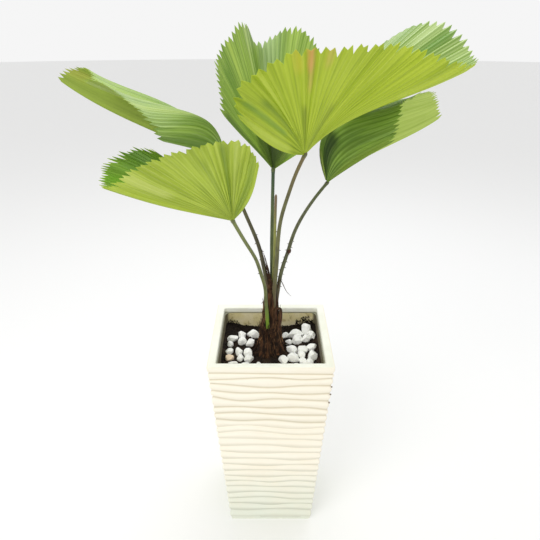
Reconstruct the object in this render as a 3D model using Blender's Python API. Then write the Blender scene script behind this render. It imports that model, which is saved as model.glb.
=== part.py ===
"""Potted fan palm: five pleated fan leaves on bare stalks, in a tall square planter with pebbles.

Units are metres and +Z is up. The origin is the middle of the planter's base, on the ground,
and the planter's front faces -Y.
"""
import bpy
import bmesh
import math
import random
import numpy as np
from mathutils import Matrix, Vector, noise

# Neighbouring pieces stay this far apart; seats cut for faceted pieces are a little roomier
GAP = 0.0004
SEAT_ROOM = GAP * 1.2
SOCKET_ROOM = GAP * 1.15
WELD = 0.00001

# The planter is a hollow square pyramid frustum with a flat rim
PLANTER_HEIGHT = 0.610
TOP_HALF = 0.165
BASE_HALF = 0.125
RIM_WIDTH = 0.022
RIM_BAND = 0.015
LEDGE_WIDTH = 0.003
CAVITY_CORNER = 0.020
RIM_CORNER = 0.004
FLOOR_TOP = 0.030
FLOOR_HALF = 0.1035
DRAIN_RADIUS = 0.008
DRAIN_SIDES = 12
DRAIN_PLACES = ((0.055, 0.035), (-0.055, 0.035), (0.0, -0.060))

# Each band between two creases swells out like a slat, by the crease's depth
CREASE_DEPTH = 0.0045
CREST_SHARE = 0.42
FOOT_DEPTH = 0.002
COLUMNS_PER_FACE = 6
CREASE_STATIONS = (-1.0, -0.5, 0.0, 0.5, 1.0)
# Heights in mm of the creases over the base, at the stations from a face's left edge to its right
CREASE_HEIGHTS = (
    (591, 590, 588, 587, 586),
    (568, 572, 576, 569, 574),
    (557, 548, 541, 548, 548),
    (532, 523, 524, 518, 521),
    (511, 495, 502, 499, 495),
    (472, 474, 469, 472, 463),
    (450, 454, 447, 443, 443),
    (430, 422, 426, 417, 416),
    (396, 404, 396, 389, 395),
    (374, 382, 375, 366, 367),
    (353, 351, 348, 348, 342),
    (321, 324, 324, 315, 315),
    (301, 293, 292, 295, 294),
    (269, 271, 269, 262, 268),
    (249, 242, 239, 245, 242),
    (217, 221, 221, 216, 215),
    (198, 192, 190, 197, 194),
    (172, 175, 167, 173, 167),
    (150, 150, 147, 146, 143),
    (117, 124, 123, 116, 116),
    (94, 98, 99, 90, 90),
    (72, 70, 63, 70, 68),
    (40, 37, 45, 43, 37),
)

# Soil: its mean height, the rows of its surface from the wall inwards, and its lumps and crumbs,
# each with its count per metre, its height and its own layer of the noise
SOIL_HEIGHT = 0.556
SOIL_RINGS = (1.0, 0.88, 0.76, 0.63, 0.50, 0.38, 0.27)
SOIL_LUMPS = (22.0, 0.007, 3.0)
SOIL_CRUMBS = (60.0, 0.00315, 9.0)

# The stem: heights and radii from its foot in the soil to its top between the stalks
STEM_PROFILE = (
    (0.470, 0.024),
    (0.500, 0.036),
    (0.535, 0.044),
    (0.552, 0.045),
    (0.566, 0.041),
    (0.585, 0.036),
    (0.610, 0.032),
    (0.636, 0.029),
    (0.650, 0.025),
    (0.660, 0.0195),
    (0.685, 0.018),
    (0.710, 0.0175),
    (0.735, 0.0155),
    (0.752, 0.0115),
)
STEM_SIDES = 18
STEM_RELIEF = 0.0044
STEM_FOLDS_ROUND = 2.4
STEM_FOLDS_UP = 9.0

# Blades
BLADE_THICKNESS = 0.0012
PLEAT_SHARE = 0.11
TOOTH_DEPTH = 0.007
HUB_RADIUS = 0.0052
HUB_HALF_LENGTH = 0.006
HUB_TOP_SHARE = 0.8
BLADE_STATIONS = (0.012, 0.10, 0.25, 0.45, 0.70, 1.0)
COLUMN_STEPS = (8, 4, 2, 2, 1, 1)
MARGIN_SAMPLES = 400

# Each leaf: its hastula, where the stalk meets the blade, its pleats, the way its ribs arch,
# and its ribs in order round the fan: the tip from the hastula in mm, the slope at which
# the rib rises off its chord, and the slope at which it comes down again
LEAVES = {
    "front_right": dict(
        hastula=(0.075, -0.100, 1.138), pleats=32, arch=(0.0, 0.0, 1.0),
        ribs=(
            (-130, -170, 100, -0.36, -0.26),
            (-135, -185, 130, 0.10, 0.05),
            (-90, -200, 185, 0.20, 0.10),
            (-20, -200, 215, 0.15, 0.10),
            (35, -185, 215, 0.13, 0.10),
            (85, -160, 220, 0.15, 0.10),
            (200, -100, 210, 0.25, 0.05),
            (335, 0, 180, 0.45, -0.10),
            (370, 100, 200, 0.38, 0.00),
            (325, 160, 255, 0.25, 0.15),
            (255, 200, 255, 0.30, 0.20),
            (190, 220, 210, 0.40, 0.20),
            (130, 200, 150, 0.45, 0.20),
        ),
    ),
    "front_left": dict(
        hastula=(-0.086, -0.140, 0.998), pleats=28, arch=(0.0, 0.0, 1.0),
        ribs=(
            (65, -200, 175, -0.22, -0.50),
            (50, -220, 210, 0.08, 0.05),
            (-5, -240, 220, 0.15, 0.10),
            (-65, -240, 205, 0.12, 0.10),
            (-140, -220, 175, 0.05, 0.00),
            (-225, -140, 115, -0.04, -0.12),
            (-260, -40, 120, 0.10, 0.10),
            (-255, 40, 135, 0.20, 0.10),
            (-215, 90, 140, 0.30, 0.10),
            (-185, 130, 125, 0.35, 0.10),
        ),
    ),
    "back_middle": dict(
        hastula=(0.006, 0.040, 1.069), pleats=28, arch=(0.0, -1.0, 0.3),
        ribs=(
            (-110, -140, 155, 0.75, 0.25),
            (-115, -100, 195, 0.40, 0.15),
            (-125, -40, 255, 0.20, 0.10),
            (-105, 10, 295, 0.15, 0.10),
            (-70, 60, 330, 0.10, 0.10),
            (-35, 160, 285, 0.10, 0.10),
            (40, 140, 320, 0.10, 0.10),
            (110, 80, 270, 0.15, 0.10),
            (125, 20, 175, 0.20, 0.10),
            (105, -60, 60, 0.55, 0.20),
        ),
    ),
    "far_left": dict(
        hastula=(-0.111, 0.020, 1.084), pleats=24, arch=(0.0, 0.0, 1.0),
        ribs=(
            (-115, -180, 95, 0.30, 0.10),
            (-135, -180, 130, 1.45, 0.35),
            (-170, -180, 170, 1.65, 0.20),
            (-220, -150, 200, 1.30, 0.10),
            (-275, -100, 205, 1.00, 0.10),
            (-305, 20, 200, 0.95, 0.10),
            (-345, 80, 220, 0.85, 0.10),
            (-395, 100, 210, 0.40, 0.10),
            (-415, 100, 190, 0.05, -0.20),
        ),
    ),
    "far_right": dict(
        hastula=(0.149, 0.090, 1.021), pleats=24, arch=(-0.22, 0.0, 1.0),
        ribs=(
            (125, -160, 140, 0.05, 0.05),
            (125, -180, 175, 0.80, 0.25),
            (130, -180, 210, 1.70, 0.40),
            (160, -120, 225, 2.40, 0.40),
            (215, 0, 225, 2.50, 0.40),
            (265, 60, 220, 1.90, 0.40),
            (295, 100, 190, 1.00, 0.20),
            (315, 120, 150, 0.20, -0.08),
        ),
    ),
}

# Stalk routes in mm from the stem up to just under the hastula, and radii at the foot and the top
STALKS = {
    "front_right": dict(
        route=((8, -10, 700), (10, -13, 763), (15, -20, 830), (18, -32, 900), (25, -46, 969),
               (41, -62, 1034), (57, -81, 1090)),
        radii=(0.0058, 0.0040), spines=4,
    ),
    "front_left": dict(
        route=((-8, -22, 640), (-10, -25, 685), (-13, -33, 733), (-15, -48, 780), (-25, -68, 831),
               (-36, -85, 876), (-55, -103, 921), (-72, -121, 961)),
        radii=(0.0056, 0.0042), spines=2,
    ),
    "back_middle": dict(
        route=((2, 12, 700), (3, 14, 780), (3, 18, 871), (4, 27, 957)),
        radii=(0.0056, 0.0042), spines=0,
    ),
    "far_left": dict(
        route=((-8, 3, 705), (-10, 2, 770), (-18, 3, 813), (-26, 6, 853), (-39, 9, 897),
               (-56, 11, 940), (-71, 14, 977), (-94, 17, 1035)),
        radii=(0.0060, 0.0040), spines=7,
    ),
    "far_right": dict(
        route=((14, 4, 700), (20, 5, 748), (30, 7, 806), (45, 12, 855), (61, 22, 905),
               (87, 45, 950), (117, 67, 988)),
        radii=(0.0056, 0.0040), spines=9,
    ),
}
STALK_POINTS = 15
CUT_STALK_ROUTE = ((5, 1, 725), (6, 1, 770), (9, 2, 832), (11, 4, 930), (13, 5, 1016))
CUT_STALK_RADII = (0.0042, 0.0034)
CUT_STALK_POINTS = 9
SOCKET_POINTS = 5

# Hooked thorns: their size, their run along a stalk, how far they sit in it, lean back and sway
SPINE_LENGTH = 0.0055
SPINE_RADIUS = 0.0013
SPINE_SIDES = 4
SPINE_TIP_SHARE = 0.15
SPINE_MIDDLE = 0.30
SPINE_FIRST = 0.16
SPINE_RUN = 0.36
SPINE_SEAT = 0.75
SPINE_LEAN = 0.35
SPINE_SWAY = 0.2

# Pebbles: middle in mm from the planter's middle, length in mm, and turn in degrees
PEBBLES = (
    (-114, 45, 27, 20), (-118, 16, 20, 80), (-117, -22, 21, 60), (-115, -53, 22, 10),
    (-86, 56, 26, 40), (-53, 67, 31, 25), (-76, 28, 27, 55), (-52, 19, 27, 130),
    (-90, -24, 25, 100), (-84, -54, 22, 20), (-64, -27, 28, 150), (-60, -60, 26, 30),
    (44, 64, 21, 0), (48, 24, 21, 70), (73, 67, 36, 160), (78, 34, 32, 140),
    (109, 87, 37, 10), (104, 44, 28, 50), (118, 58, 27, 90), (62, -12, 29, 120),
    (90, -12, 30, 145), (116, -6, 28, 60), (62, -55, 32, 20), (88, -42, 24, 100),
    (116, -46, 31, 135), (36, -70, 27, 30), (90, -66, 24, 80), (-104, -86, 27, 50),
    (-70, -94, 30, 10), (-30, -92, 24, 120), (2, -104, 28, 40), (40, -102, 30, 100),
    (72, -96, 26, 20), (106, -84, 29, 70),
)
PEBBLE_WIDTH_SHARE = 0.80
PEBBLE_HEIGHT_SHARE = 0.66
PEBBLE_ROUGHNESS = 0.06
PEBBLE_RISE_SHARE = 0.22
PEBBLE_ROOM = 0.92
PEBBLE_APART = 0.001
PEBBLE_LEAN = 0.2
SETTLE_PASSES = 200
STEM_ROOM = 0.050
WALL_ROOM = 0.1355

# Colour, roughness
PLANTER_LOOK = ((0.86, 0.83, 0.72), 0.80)
SOIL_LOOK = ((0.020, 0.014, 0.010), 0.95)
STEM_LOOK = ((0.095, 0.045, 0.028), 0.90)
PALE_LEAF_LOOK = ((0.36, 0.50, 0.06), 0.50)
DARK_LEAF_LOOK = ((0.11, 0.28, 0.06), 0.45)
FRESH_STALK_LOOK = ((0.16, 0.28, 0.05), 0.55)
OLD_STALK_LOOK = ((0.13, 0.14, 0.05), 0.60)
PEBBLE_LOOK = ((0.84, 0.85, 0.80), 0.70)


def clear_scene():
    for old in list(bpy.data.objects):
        bpy.data.objects.remove(old, do_unlink=True)


def material(name, look):
    colour, roughness = look
    new = bpy.data.materials.new(name)
    new.use_nodes = True
    surface = new.node_tree.nodes["Principled BSDF"]
    surface.inputs["Base Color"].default_value = (*colour, 1.0)
    surface.inputs["Roughness"].default_value = roughness
    return new


def add_object(name, mesh, skin=None):
    new = bpy.data.objects.new(name, mesh)
    bpy.context.scene.collection.objects.link(new)
    if skin is not None:
        mesh.materials.clear()
        mesh.materials.append(skin)
    return new


def mesh_from(form, name):
    """Finish a bmesh as a mesh of triangles that face outwards."""
    bmesh.ops.recalc_face_normals(form, faces=form.faces)
    bmesh.ops.triangulate(form, faces=form.faces)
    mesh = bpy.data.meshes.new(name)
    form.to_mesh(mesh)
    form.free()
    return mesh


def bake(piece):
    """Apply a piece's modifiers."""
    graph = bpy.context.evaluated_depsgraph_get()
    result = bpy.data.meshes.new_from_object(piece.evaluated_get(graph))
    piece.modifiers.clear()
    piece.data = result


def combine(piece, other, operation, solver="EXACT"):
    """Join another object to a piece or cut it out of the piece, then drop that object."""
    joint = piece.modifiers.new(operation.title(), "BOOLEAN")
    joint.operation = operation
    joint.solver = solver
    joint.object = other
    bake(piece)
    bpy.data.objects.remove(other, do_unlink=True)


def keep_largest_body(piece):
    """Drop the loose scraps that cuts leave at thin edges."""
    form = bmesh.new()
    form.from_mesh(piece.data)
    waiting = set(form.verts)
    bodies = []
    while waiting:
        body = []
        front = [waiting.pop()]
        while front:
            corner = front.pop()
            body.append(corner)
            for edge in corner.link_edges:
                other = edge.other_vert(corner)
                if other in waiting:
                    waiting.remove(other)
                    front.append(other)
        bodies.append(body)
    bodies.sort(key=len)
    for body in bodies[:-1]:
        bmesh.ops.delete(form, geom=body, context="VERTS")
    form.to_mesh(piece.data)
    form.free()


def natural_spline(knots, values, places):
    """Values at the places along a natural cubic spline through the values at the knots."""
    step = np.diff(knots)
    count = len(knots)
    table = np.eye(count)
    right = np.zeros(values.shape)
    for i in range(1, count - 1):
        table[i, i - 1:i + 2] = step[i - 1], 2 * (step[i - 1] + step[i]), step[i]
        rise_after = (values[i + 1] - values[i]) / step[i]
        rise_before = (values[i] - values[i - 1]) / step[i - 1]
        right[i] = 6 * (rise_after - rise_before)
    bend = np.linalg.solve(table, right)
    i = np.clip(np.searchsorted(knots, places) - 1, 0, count - 2)
    before = ((knots[i + 1] - places) / step[i])[:, None]
    after = 1 - before
    straight = before * values[i] + after * values[i + 1]
    curve = (before ** 3 - before) * bend[i] + (after ** 3 - after) * bend[i + 1]
    return straight + curve * (step[i] ** 2)[:, None] / 6


def bridge_rings(form, rings, closed=True):
    """Quads between rings of corners that have equal counts."""
    for low, high in zip(rings[:-1], rings[1:]):
        count = len(low)
        for i in range(count if closed else count - 1):
            j = (i + 1) % count
            form.faces.new((low[i], low[j], high[j], high[i]))


def solid_of_rings(name, rings):
    """A closed mesh over rings of points, with a flat face on the first and the last."""
    form = bmesh.new()
    corners = [[form.verts.new(point) for point in ring] for ring in rings]
    bridge_rings(form, corners)
    form.faces.new(corners[0])
    form.faces.new(corners[-1])
    return mesh_from(form, name)


def outer_half(height):
    return BASE_HALF + (TOP_HALF - BASE_HALF) * height / PLANTER_HEIGHT


def cavity_half(height):
    top = PLANTER_HEIGHT - RIM_BAND
    share = (height - FLOOR_TOP) / (top - FLOOR_TOP)
    return FLOOR_HALF + (TOP_HALF - RIM_WIDTH - LEDGE_WIDTH - FLOOR_HALF) * share


def quarter_turns(x, y, count):
    for _ in range(count):
        x, y = -y, x
    return x, y


def rounded_ring(half, corner, height):
    """A square ring with rounded corners, from the middle of the front left corner."""
    ring = []
    inner = half - corner
    diagonal = inner + corner * math.sqrt(0.5)
    run = COLUMNS_PER_FACE - 2
    for side in range(4):
        ring.append(Vector((*quarter_turns(-diagonal, -diagonal, side), height)))
        for i in range(run + 1):
            ring.append(Vector((*quarter_turns(inner * (2 * i / run - 1), -half, side), height)))
    return ring


def relief_ring(heights, depth):
    """One row round the planter's outside; heights holds a value for each column of a face.

    Every second face has the row mirrored, so that the creases meet at the corners.
    """
    ring = []
    for side in range(4):
        for i in range(COLUMNS_PER_FACE):
            height = heights[COLUMNS_PER_FACE - i] if side % 2 else heights[i]
            half = outer_half(height) - depth
            across = half * (2 * i / COLUMNS_PER_FACE - 1)
            ring.append(Vector((*quarter_turns(across, -half, side), height)))
    return ring


def crease_rows():
    """Heights of the rim, the creases and the foot at a face's columns, from the top down."""
    places = np.linspace(-1.0, 1.0, COLUMNS_PER_FACE + 1)
    stations = np.array(CREASE_STATIONS)
    rows = [np.full(COLUMNS_PER_FACE + 1, PLANTER_HEIGHT)]
    for crease in CREASE_HEIGHTS:
        measured = np.array(crease)[:, None] / 1000
        rows.append(natural_spline(stations, measured, places)[:, 0])
    rows.append(np.zeros(COLUMNS_PER_FACE + 1))
    return rows


def planter_rings():
    rows = crease_rows()
    rings = [relief_ring(rows[0], 0.0)]
    for upper, lower in zip(rows[:-1], rows[1:]):
        rings.append(relief_ring(upper + (lower - upper) * CREST_SHARE, 0.0))
        rings.append(relief_ring(lower, CREASE_DEPTH))
    rings[-1] = relief_ring(rows[-1], FOOT_DEPTH)
    rings.reverse()
    ledge = PLANTER_HEIGHT - RIM_BAND
    rings.append(rounded_ring(TOP_HALF - RIM_WIDTH, RIM_CORNER, PLANTER_HEIGHT))
    rings.append(rounded_ring(TOP_HALF - RIM_WIDTH, RIM_CORNER, ledge))
    rings.append(rounded_ring(cavity_half(ledge), CAVITY_CORNER, ledge))
    rings.append(rounded_ring(FLOOR_HALF, CAVITY_CORNER, FLOOR_TOP))
    return rings


def make_planter():
    skin = material("cream_planter", PLANTER_LOOK)
    planter = add_object("planter", solid_of_rings("planter", planter_rings()), skin)
    for x, y in DRAIN_PLACES:
        form = bmesh.new()
        place = Matrix.Translation((x, y, FLOOR_TOP / 2))
        bmesh.ops.create_cone(form, cap_ends=True, segments=DRAIN_SIDES, radius1=DRAIN_RADIUS,
                              radius2=DRAIN_RADIUS, depth=FLOOR_TOP * 2, matrix=place)
        combine(planter, add_object("drain", mesh_from(form, "drain")), "DIFFERENCE")
    planter.data.materials.clear()
    planter.data.materials.append(skin)


def soil_height(x, y):
    height = SOIL_HEIGHT
    for per_metre, tall, layer in (SOIL_LUMPS, SOIL_CRUMBS):
        height += noise.noise(Vector((x * per_metre, y * per_metre, layer))) * tall
    return height


def stem_ring(height, radius, grow):
    """One row of the fibrous stem, with upright ridges."""
    ring = []
    for i in range(STEM_SIDES):
        angle = 2 * math.pi * i / STEM_SIDES
        east, north = math.cos(angle), math.sin(angle)
        spot = Vector((east * STEM_FOLDS_ROUND, north * STEM_FOLDS_ROUND, height * STEM_FOLDS_UP))
        reach = radius + grow + noise.noise(spot) * STEM_RELIEF
        ring.append(Vector((reach * east, reach * north, height)))
    return ring


def stem_mesh(grow=0.0):
    rings = [stem_ring(height, radius, grow) for height, radius in STEM_PROFILE]
    if grow:
        for point in rings[0]:
            point.z -= grow
    return solid_of_rings("stem", rings)


def smooth_route(route, count):
    """Evenly spaced points along the smooth curve through a route's own points."""
    points = np.array(route)
    lengths = np.linalg.norm(np.diff(points, axis=0), axis=1)
    knots = np.concatenate(([0.0], np.cumsum(lengths)))
    return natural_spline(knots, points, np.linspace(0.0, knots[-1], count))


def tube_mesh(name, points, radii):
    """A round bar of changing radius along the points, from a curve with a bevel."""
    curve = bpy.data.curves.new(name, "CURVE")
    curve.dimensions = "3D"
    curve.bevel_depth = 1.0
    curve.bevel_resolution = 2
    curve.use_fill_caps = True
    spline = curve.splines.new("POLY")
    spline.points.add(len(points) - 1)
    for corner, point, radius in zip(spline.points, points, radii):
        corner.co = (*point, 1.0)
        corner.radius = radius
    bar = add_object(name, curve)
    graph = bpy.context.evaluated_depsgraph_get()
    form = bmesh.new()
    form.from_mesh(bar.evaluated_get(graph).to_mesh())
    bpy.data.objects.remove(bar, do_unlink=True)
    bmesh.ops.remove_doubles(form, verts=form.verts, dist=WELD)
    return mesh_from(form, name)


def hastula_axis(leaf_name):
    """The hastula's place, and the direction in which its stalk reaches it."""
    hastula = Vector(LEAVES[leaf_name]["hastula"])
    below = Vector(STALKS[leaf_name]["route"][-1]) / 1000
    return hastula, (hastula - below).normalized()


def stalk_course(leaf_name):
    """Points and radii of a stalk, from its foot in the stem to just under the blade's hub."""
    hastula, axis = hastula_axis(leaf_name)
    end = hastula - axis * (HUB_HALF_LENGTH + GAP)
    route = [Vector(point) / 1000 for point in STALKS[leaf_name]["route"]] + [end]
    points = smooth_route(route, STALK_POINTS)
    return points, np.linspace(*STALKS[leaf_name]["radii"], STALK_POINTS)


def cut_stalk_course():
    points = smooth_route([Vector(point) / 1000 for point in CUT_STALK_ROUTE],
                          CUT_STALK_POINTS)
    return points, np.linspace(*CUT_STALK_RADII, CUT_STALK_POINTS)


def socket(points, radii):
    """A stalk's lower end, larger by the gap all round, to cut its seat out of the stem."""
    low = np.array(points[:SOCKET_POINTS])
    step = low[1] - low[0]
    low[0] = low[0] - step / np.linalg.norm(step) * GAP
    return add_object("socket", tube_mesh("socket", low, radii[:SOCKET_POINTS] + SOCKET_ROOM))


def make_stem():
    skin = material("brown_fibre", STEM_LOOK)
    stem = add_object("stem", stem_mesh(), skin)
    for leaf_name in LEAVES:
        combine(stem, socket(*stalk_course(leaf_name)), "DIFFERENCE")
    combine(stem, socket(*cut_stalk_course()), "DIFFERENCE")
    keep_largest_body(stem)
    stem.data.materials.clear()
    stem.data.materials.append(skin)


def spine(place, direction):
    form = bmesh.new()
    turn = Vector((0, 0, 1)).rotation_difference(direction).to_matrix().to_4x4()
    middle = Matrix.Translation(place + direction * (SPINE_LENGTH * SPINE_MIDDLE)) @ turn
    bmesh.ops.create_cone(form, cap_ends=True, segments=SPINE_SIDES, radius1=SPINE_RADIUS,
                          radius2=SPINE_RADIUS * SPINE_TIP_SHARE, depth=SPINE_LENGTH,
                          matrix=middle)
    return add_object("spine", mesh_from(form, "spine"))


def add_spines(stalk, points, radii, count, draw):
    """Hooked thorns along both edges of a stalk's lower half."""
    for i in range(count):
        share = SPINE_FIRST + SPINE_RUN * i / max(count - 1, 1)
        at = share * (len(points) - 1)
        low = int(at)
        place = Vector(points[low] * (1 - at + low) + points[low + 1] * (at - low))
        along = Vector(points[low + 1] - points[low]).normalized()
        side = along.cross(Vector((0, 1, 0))).normalized() * (1 if i % 2 else -1)
        lean = Vector((0, draw.uniform(-SPINE_SWAY, SPINE_SWAY), 0)) - along * SPINE_LEAN
        direction = (side + lean).normalized()
        seat = place + side * radii[low] * SPINE_SEAT
        combine(stalk, spine(seat, direction), "UNION")


def make_stalks():
    fresh = material("fresh_green_stalk", FRESH_STALK_LOOK)
    olive = material("olive_stalk", OLD_STALK_LOOK)
    draw = random.Random(4)
    for leaf_name in LEAVES:
        name = "stalk_" + leaf_name
        skin = fresh if leaf_name == "front_left" else olive
        points, radii = stalk_course(leaf_name)
        stalk = add_object(name, tube_mesh(name, points, radii), skin)
        add_spines(stalk, points, radii, STALKS[leaf_name]["spines"], draw)
        stalk.data.materials.clear()
        stalk.data.materials.append(skin)
    add_object("cut_stalk", tube_mesh("cut_stalk", *cut_stalk_course()), olive)


def rib_points(ribs, arch, stations):
    """Points along each control rib, from the hastula to its tip."""
    rows = []
    for x, y, z, rise, fall in ribs:
        tip = np.array((x, y, z)) / 1000
        length = np.linalg.norm(tip)
        up = arch - tip * (arch @ tip) / length ** 2
        bow = rise * stations * (1 - stations) ** 2 + fall * stations ** 2 * (1 - stations)
        rows.append(stations[:, None] * tip + (length * bow)[:, None] * up)
    return np.array(rows)


def blade_grid(leaf):
    """Points and unit normals of a fan's smooth surface, by column and by station."""
    stations = np.array(BLADE_STATIONS)
    arch = np.array(leaf["arch"])
    arch = arch / np.linalg.norm(arch)
    rows = rib_points(leaf["ribs"], arch, stations)
    tips = rows[:, -1] / np.linalg.norm(rows[:, -1], axis=1)[:, None]
    turns = np.arccos((tips[1:] * tips[:-1]).sum(axis=1))
    knots = np.concatenate(([0.0], np.cumsum(turns)))
    flat = rows.reshape(len(rows), -1)
    fine = np.linspace(0.0, knots[-1], MARGIN_SAMPLES)
    trial = natural_spline(knots, flat, fine)
    margin = np.linalg.norm(np.diff(trial[:, -3:], axis=0), axis=1)
    along = np.concatenate(([0.0], np.cumsum(margin)))
    columns = 2 * leaf["pleats"] + 1
    even = np.interp(np.linspace(0.0, along[-1], columns), along, fine)
    grid = natural_spline(knots, flat, even).reshape(columns, len(stations), 3)
    normals = np.cross(np.gradient(grid, axis=1), np.gradient(grid, axis=0))
    normals /= np.linalg.norm(normals, axis=2)[:, :, None]
    return grid, normals


def pleated(grid, normals):
    """Fold the outer stations of a blade into pleats and notch its margin."""
    folded = grid.copy()
    ridge = np.where(np.arange(len(grid)) % 2 == 0, 1.0, -1.0)[:, None]
    widths = np.linalg.norm(np.diff(grid[:, -1], axis=0), axis=1)
    swing = widths.mean() * 2 * PLEAT_SHARE
    for k, step in enumerate(COLUMN_STEPS):
        if step == 1:
            folded[:, k] += normals[:, k] * ridge * swing * BLADE_STATIONS[k]
    outwards = grid[:, -1] - grid[:, -2]
    outwards /= np.linalg.norm(outwards, axis=1)[:, None]
    folded[:, -1] += outwards * ridge * TOOTH_DEPTH
    return folded


def blade_mesh(name, leaf):
    """A thin closed solid, with fewer columns towards the hastula."""
    grid, normals = blade_grid(leaf)
    folded = pleated(grid, normals)
    form = bmesh.new()
    faces = []
    for offset in (BLADE_THICKNESS / 2, -BLADE_THICKNESS / 2):
        rows = []
        for k, step in enumerate(COLUMN_STEPS):
            points = folded[::step, k] + normals[::step, k] * offset
            rows.append([form.verts.new(point) for point in points])
        for low, high in zip(rows[:-1], rows[1:]):
            join_rows(form, low, high)
        faces.append(rows)
    upper, under = faces
    edges = [(upper[0], under[0]), (upper[-1], under[-1])]
    edges.append(([row[0] for row in upper], [row[0] for row in under]))
    edges.append(([row[-1] for row in upper], [row[-1] for row in under]))
    for one, other in edges:
        bridge_rings(form, [one, other], closed=False)
    return mesh_from(form, name)


def join_rows(form, low, high):
    """Triangles between two rows, the outer of which may have twice the columns."""
    twice = len(high) > len(low)
    for i in range(len(low) - 1):
        if twice:
            a, b, c = high[2 * i:2 * i + 3]
            form.faces.new((low[i], a, b))
            form.faces.new((low[i], b, low[i + 1]))
            form.faces.new((low[i + 1], b, c))
        else:
            form.faces.new((low[i], high[i], high[i + 1]))
            form.faces.new((low[i], high[i + 1], low[i + 1]))


def make_blades():
    pale = material("pale_leaf", PALE_LEAF_LOOK)
    dark = material("dark_leaf", DARK_LEAF_LOOK)
    for leaf_name, leaf in LEAVES.items():
        skin = pale if leaf_name.startswith("front") else dark
        name = "blade_" + leaf_name
        blade = add_object(name, blade_mesh(name, leaf), skin)
        hastula, axis = hastula_axis(leaf_name)
        blade.data.transform(Matrix.Translation(hastula))
        ends = (hastula - axis * HUB_HALF_LENGTH, hastula + axis * HUB_HALF_LENGTH)
        hub = tube_mesh("hub", ends, (HUB_RADIUS, HUB_RADIUS * HUB_TOP_SHARE))
        # The exact solver drops the most arched blade here, so the manifold solver joins the hubs
        combine(blade, add_object("hub", hub), "UNION", solver="MANIFOLD")
        blade.data.materials.clear()
        blade.data.materials.append(skin)


def settled_pebbles():
    """Push pebbles apart where they would touch, inside the walls and clear of the stem."""
    places = [[x / 1000, y / 1000] for x, y, _, _ in PEBBLES]
    reach = [length / 2000 * PEBBLE_ROOM for _, _, length, _ in PEBBLES]
    for _ in range(SETTLE_PASSES):
        for i, place in enumerate(places):
            for j in range(i):
                apart = Vector(place) - Vector(places[j])
                short = reach[i] + reach[j] + PEBBLE_APART - apart.length
                if short > 0:
                    shift = apart.normalized() * short / 2
                    place[0], place[1] = place[0] + shift.x, place[1] + shift.y
                    places[j] = [places[j][0] - shift.x, places[j][1] - shift.y]
            middle = Vector(place)
            if middle.length < STEM_ROOM + reach[i]:
                middle = middle.normalized() * (STEM_ROOM + reach[i])
            limit = WALL_ROOM - reach[i]
            place[0] = min(max(middle.x, -limit), limit)
            place[1] = min(max(middle.y, -limit), limit)
    return places


def pebble_form(length, turn, seed):
    draw = random.Random(seed)
    form = bmesh.new()
    bmesh.ops.create_icosphere(form, subdivisions=2, radius=0.5)
    stretch = Vector((length, length * PEBBLE_WIDTH_SHARE, length * PEBBLE_HEIGHT_SHARE)) / 1000
    for corner in form.verts:
        corner.co *= 1 + draw.uniform(-PEBBLE_ROUGHNESS, PEBBLE_ROUGHNESS)
        corner.co = Vector(a * b for a, b in zip(corner.co, stretch))
    lean = Matrix.Rotation(draw.uniform(-PEBBLE_LEAN, PEBBLE_LEAN), 4, "X")
    turned = Matrix.Rotation(math.radians(turn), 4, "Z") @ lean
    bmesh.ops.transform(form, verts=form.verts, matrix=turned)
    return form


def make_pebbles(soil):
    """Loose white pebbles, each lying in its own hollow of the soil."""
    skin = material("white_pebble", PEBBLE_LOOK)
    for number, (place, row) in enumerate(zip(settled_pebbles(), PEBBLES), start=1):
        length, turn = row[2:]
        rise = length / 1000 * PEBBLE_HEIGHT_SHARE * PEBBLE_RISE_SHARE
        middle = Matrix.Translation((*place, soil_height(*place) + rise))
        form = pebble_form(length, turn, number)
        bmesh.ops.transform(form, verts=form.verts, matrix=middle)
        hollow = form.copy()
        hollow.normal_update()
        for corner in hollow.verts:
            corner.co += corner.normal * SEAT_ROOM
        add_object(f"pebble_{number:02d}", mesh_from(form, "pebble"), skin)
        combine(soil, add_object("hollow", mesh_from(hollow, "hollow")), "DIFFERENCE")


def soil_rings():
    """Rows of the soil's body, up the cavity's walls and then inwards over its surface."""
    floor = FLOOR_TOP + GAP
    rings = [rounded_ring(cavity_half(floor) - SEAT_ROOM, CAVITY_CORNER - SEAT_ROOM, floor)]
    level = rounded_ring(cavity_half(SOIL_HEIGHT) - SEAT_ROOM, CAVITY_CORNER - SEAT_ROOM,
                         SOIL_HEIGHT)
    for share in SOIL_RINGS:
        ring = []
        for i, point in enumerate(level):
            height = soil_height(point.x * share, point.y * share)
            if share == 1.0:
                edge = rounded_ring(cavity_half(height) - SEAT_ROOM, CAVITY_CORNER - SEAT_ROOM,
                                    height)
                ring.append(edge[i])
            else:
                ring.append(Vector((point.x * share, point.y * share, height)))
        rings.append(ring)
    return rings


def make_soil():
    skin = material("dark_soil", SOIL_LOOK)
    soil = add_object("soil", solid_of_rings("soil", soil_rings()), skin)
    combine(soil, add_object("stem_hole", stem_mesh(SEAT_ROOM)), "DIFFERENCE")
    return soil, skin


def build():
    clear_scene()
    make_planter()
    make_stem()
    make_stalks()
    make_blades()
    soil, skin = make_soil()
    make_pebbles(soil)
    soil.data.materials.clear()
    soil.data.materials.append(skin)


build()
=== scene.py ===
# %% [markdown]
# # Potted fan palm
#
# A young fan palm stands in a tall square planter. Five pleated leaves rise on thin stalks from a
# short fibrous stem, and white pebbles lie on the soil round it. The solids of the part come in as
# a fixed frame. Each one is then dressed: it is replaced by a finer piece in the same place, with a
# finish made from nodes alone.

# %% Load the frame
import math
import random

import bpy
import numpy as np
from mathutils import Matrix, Vector, noise


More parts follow.
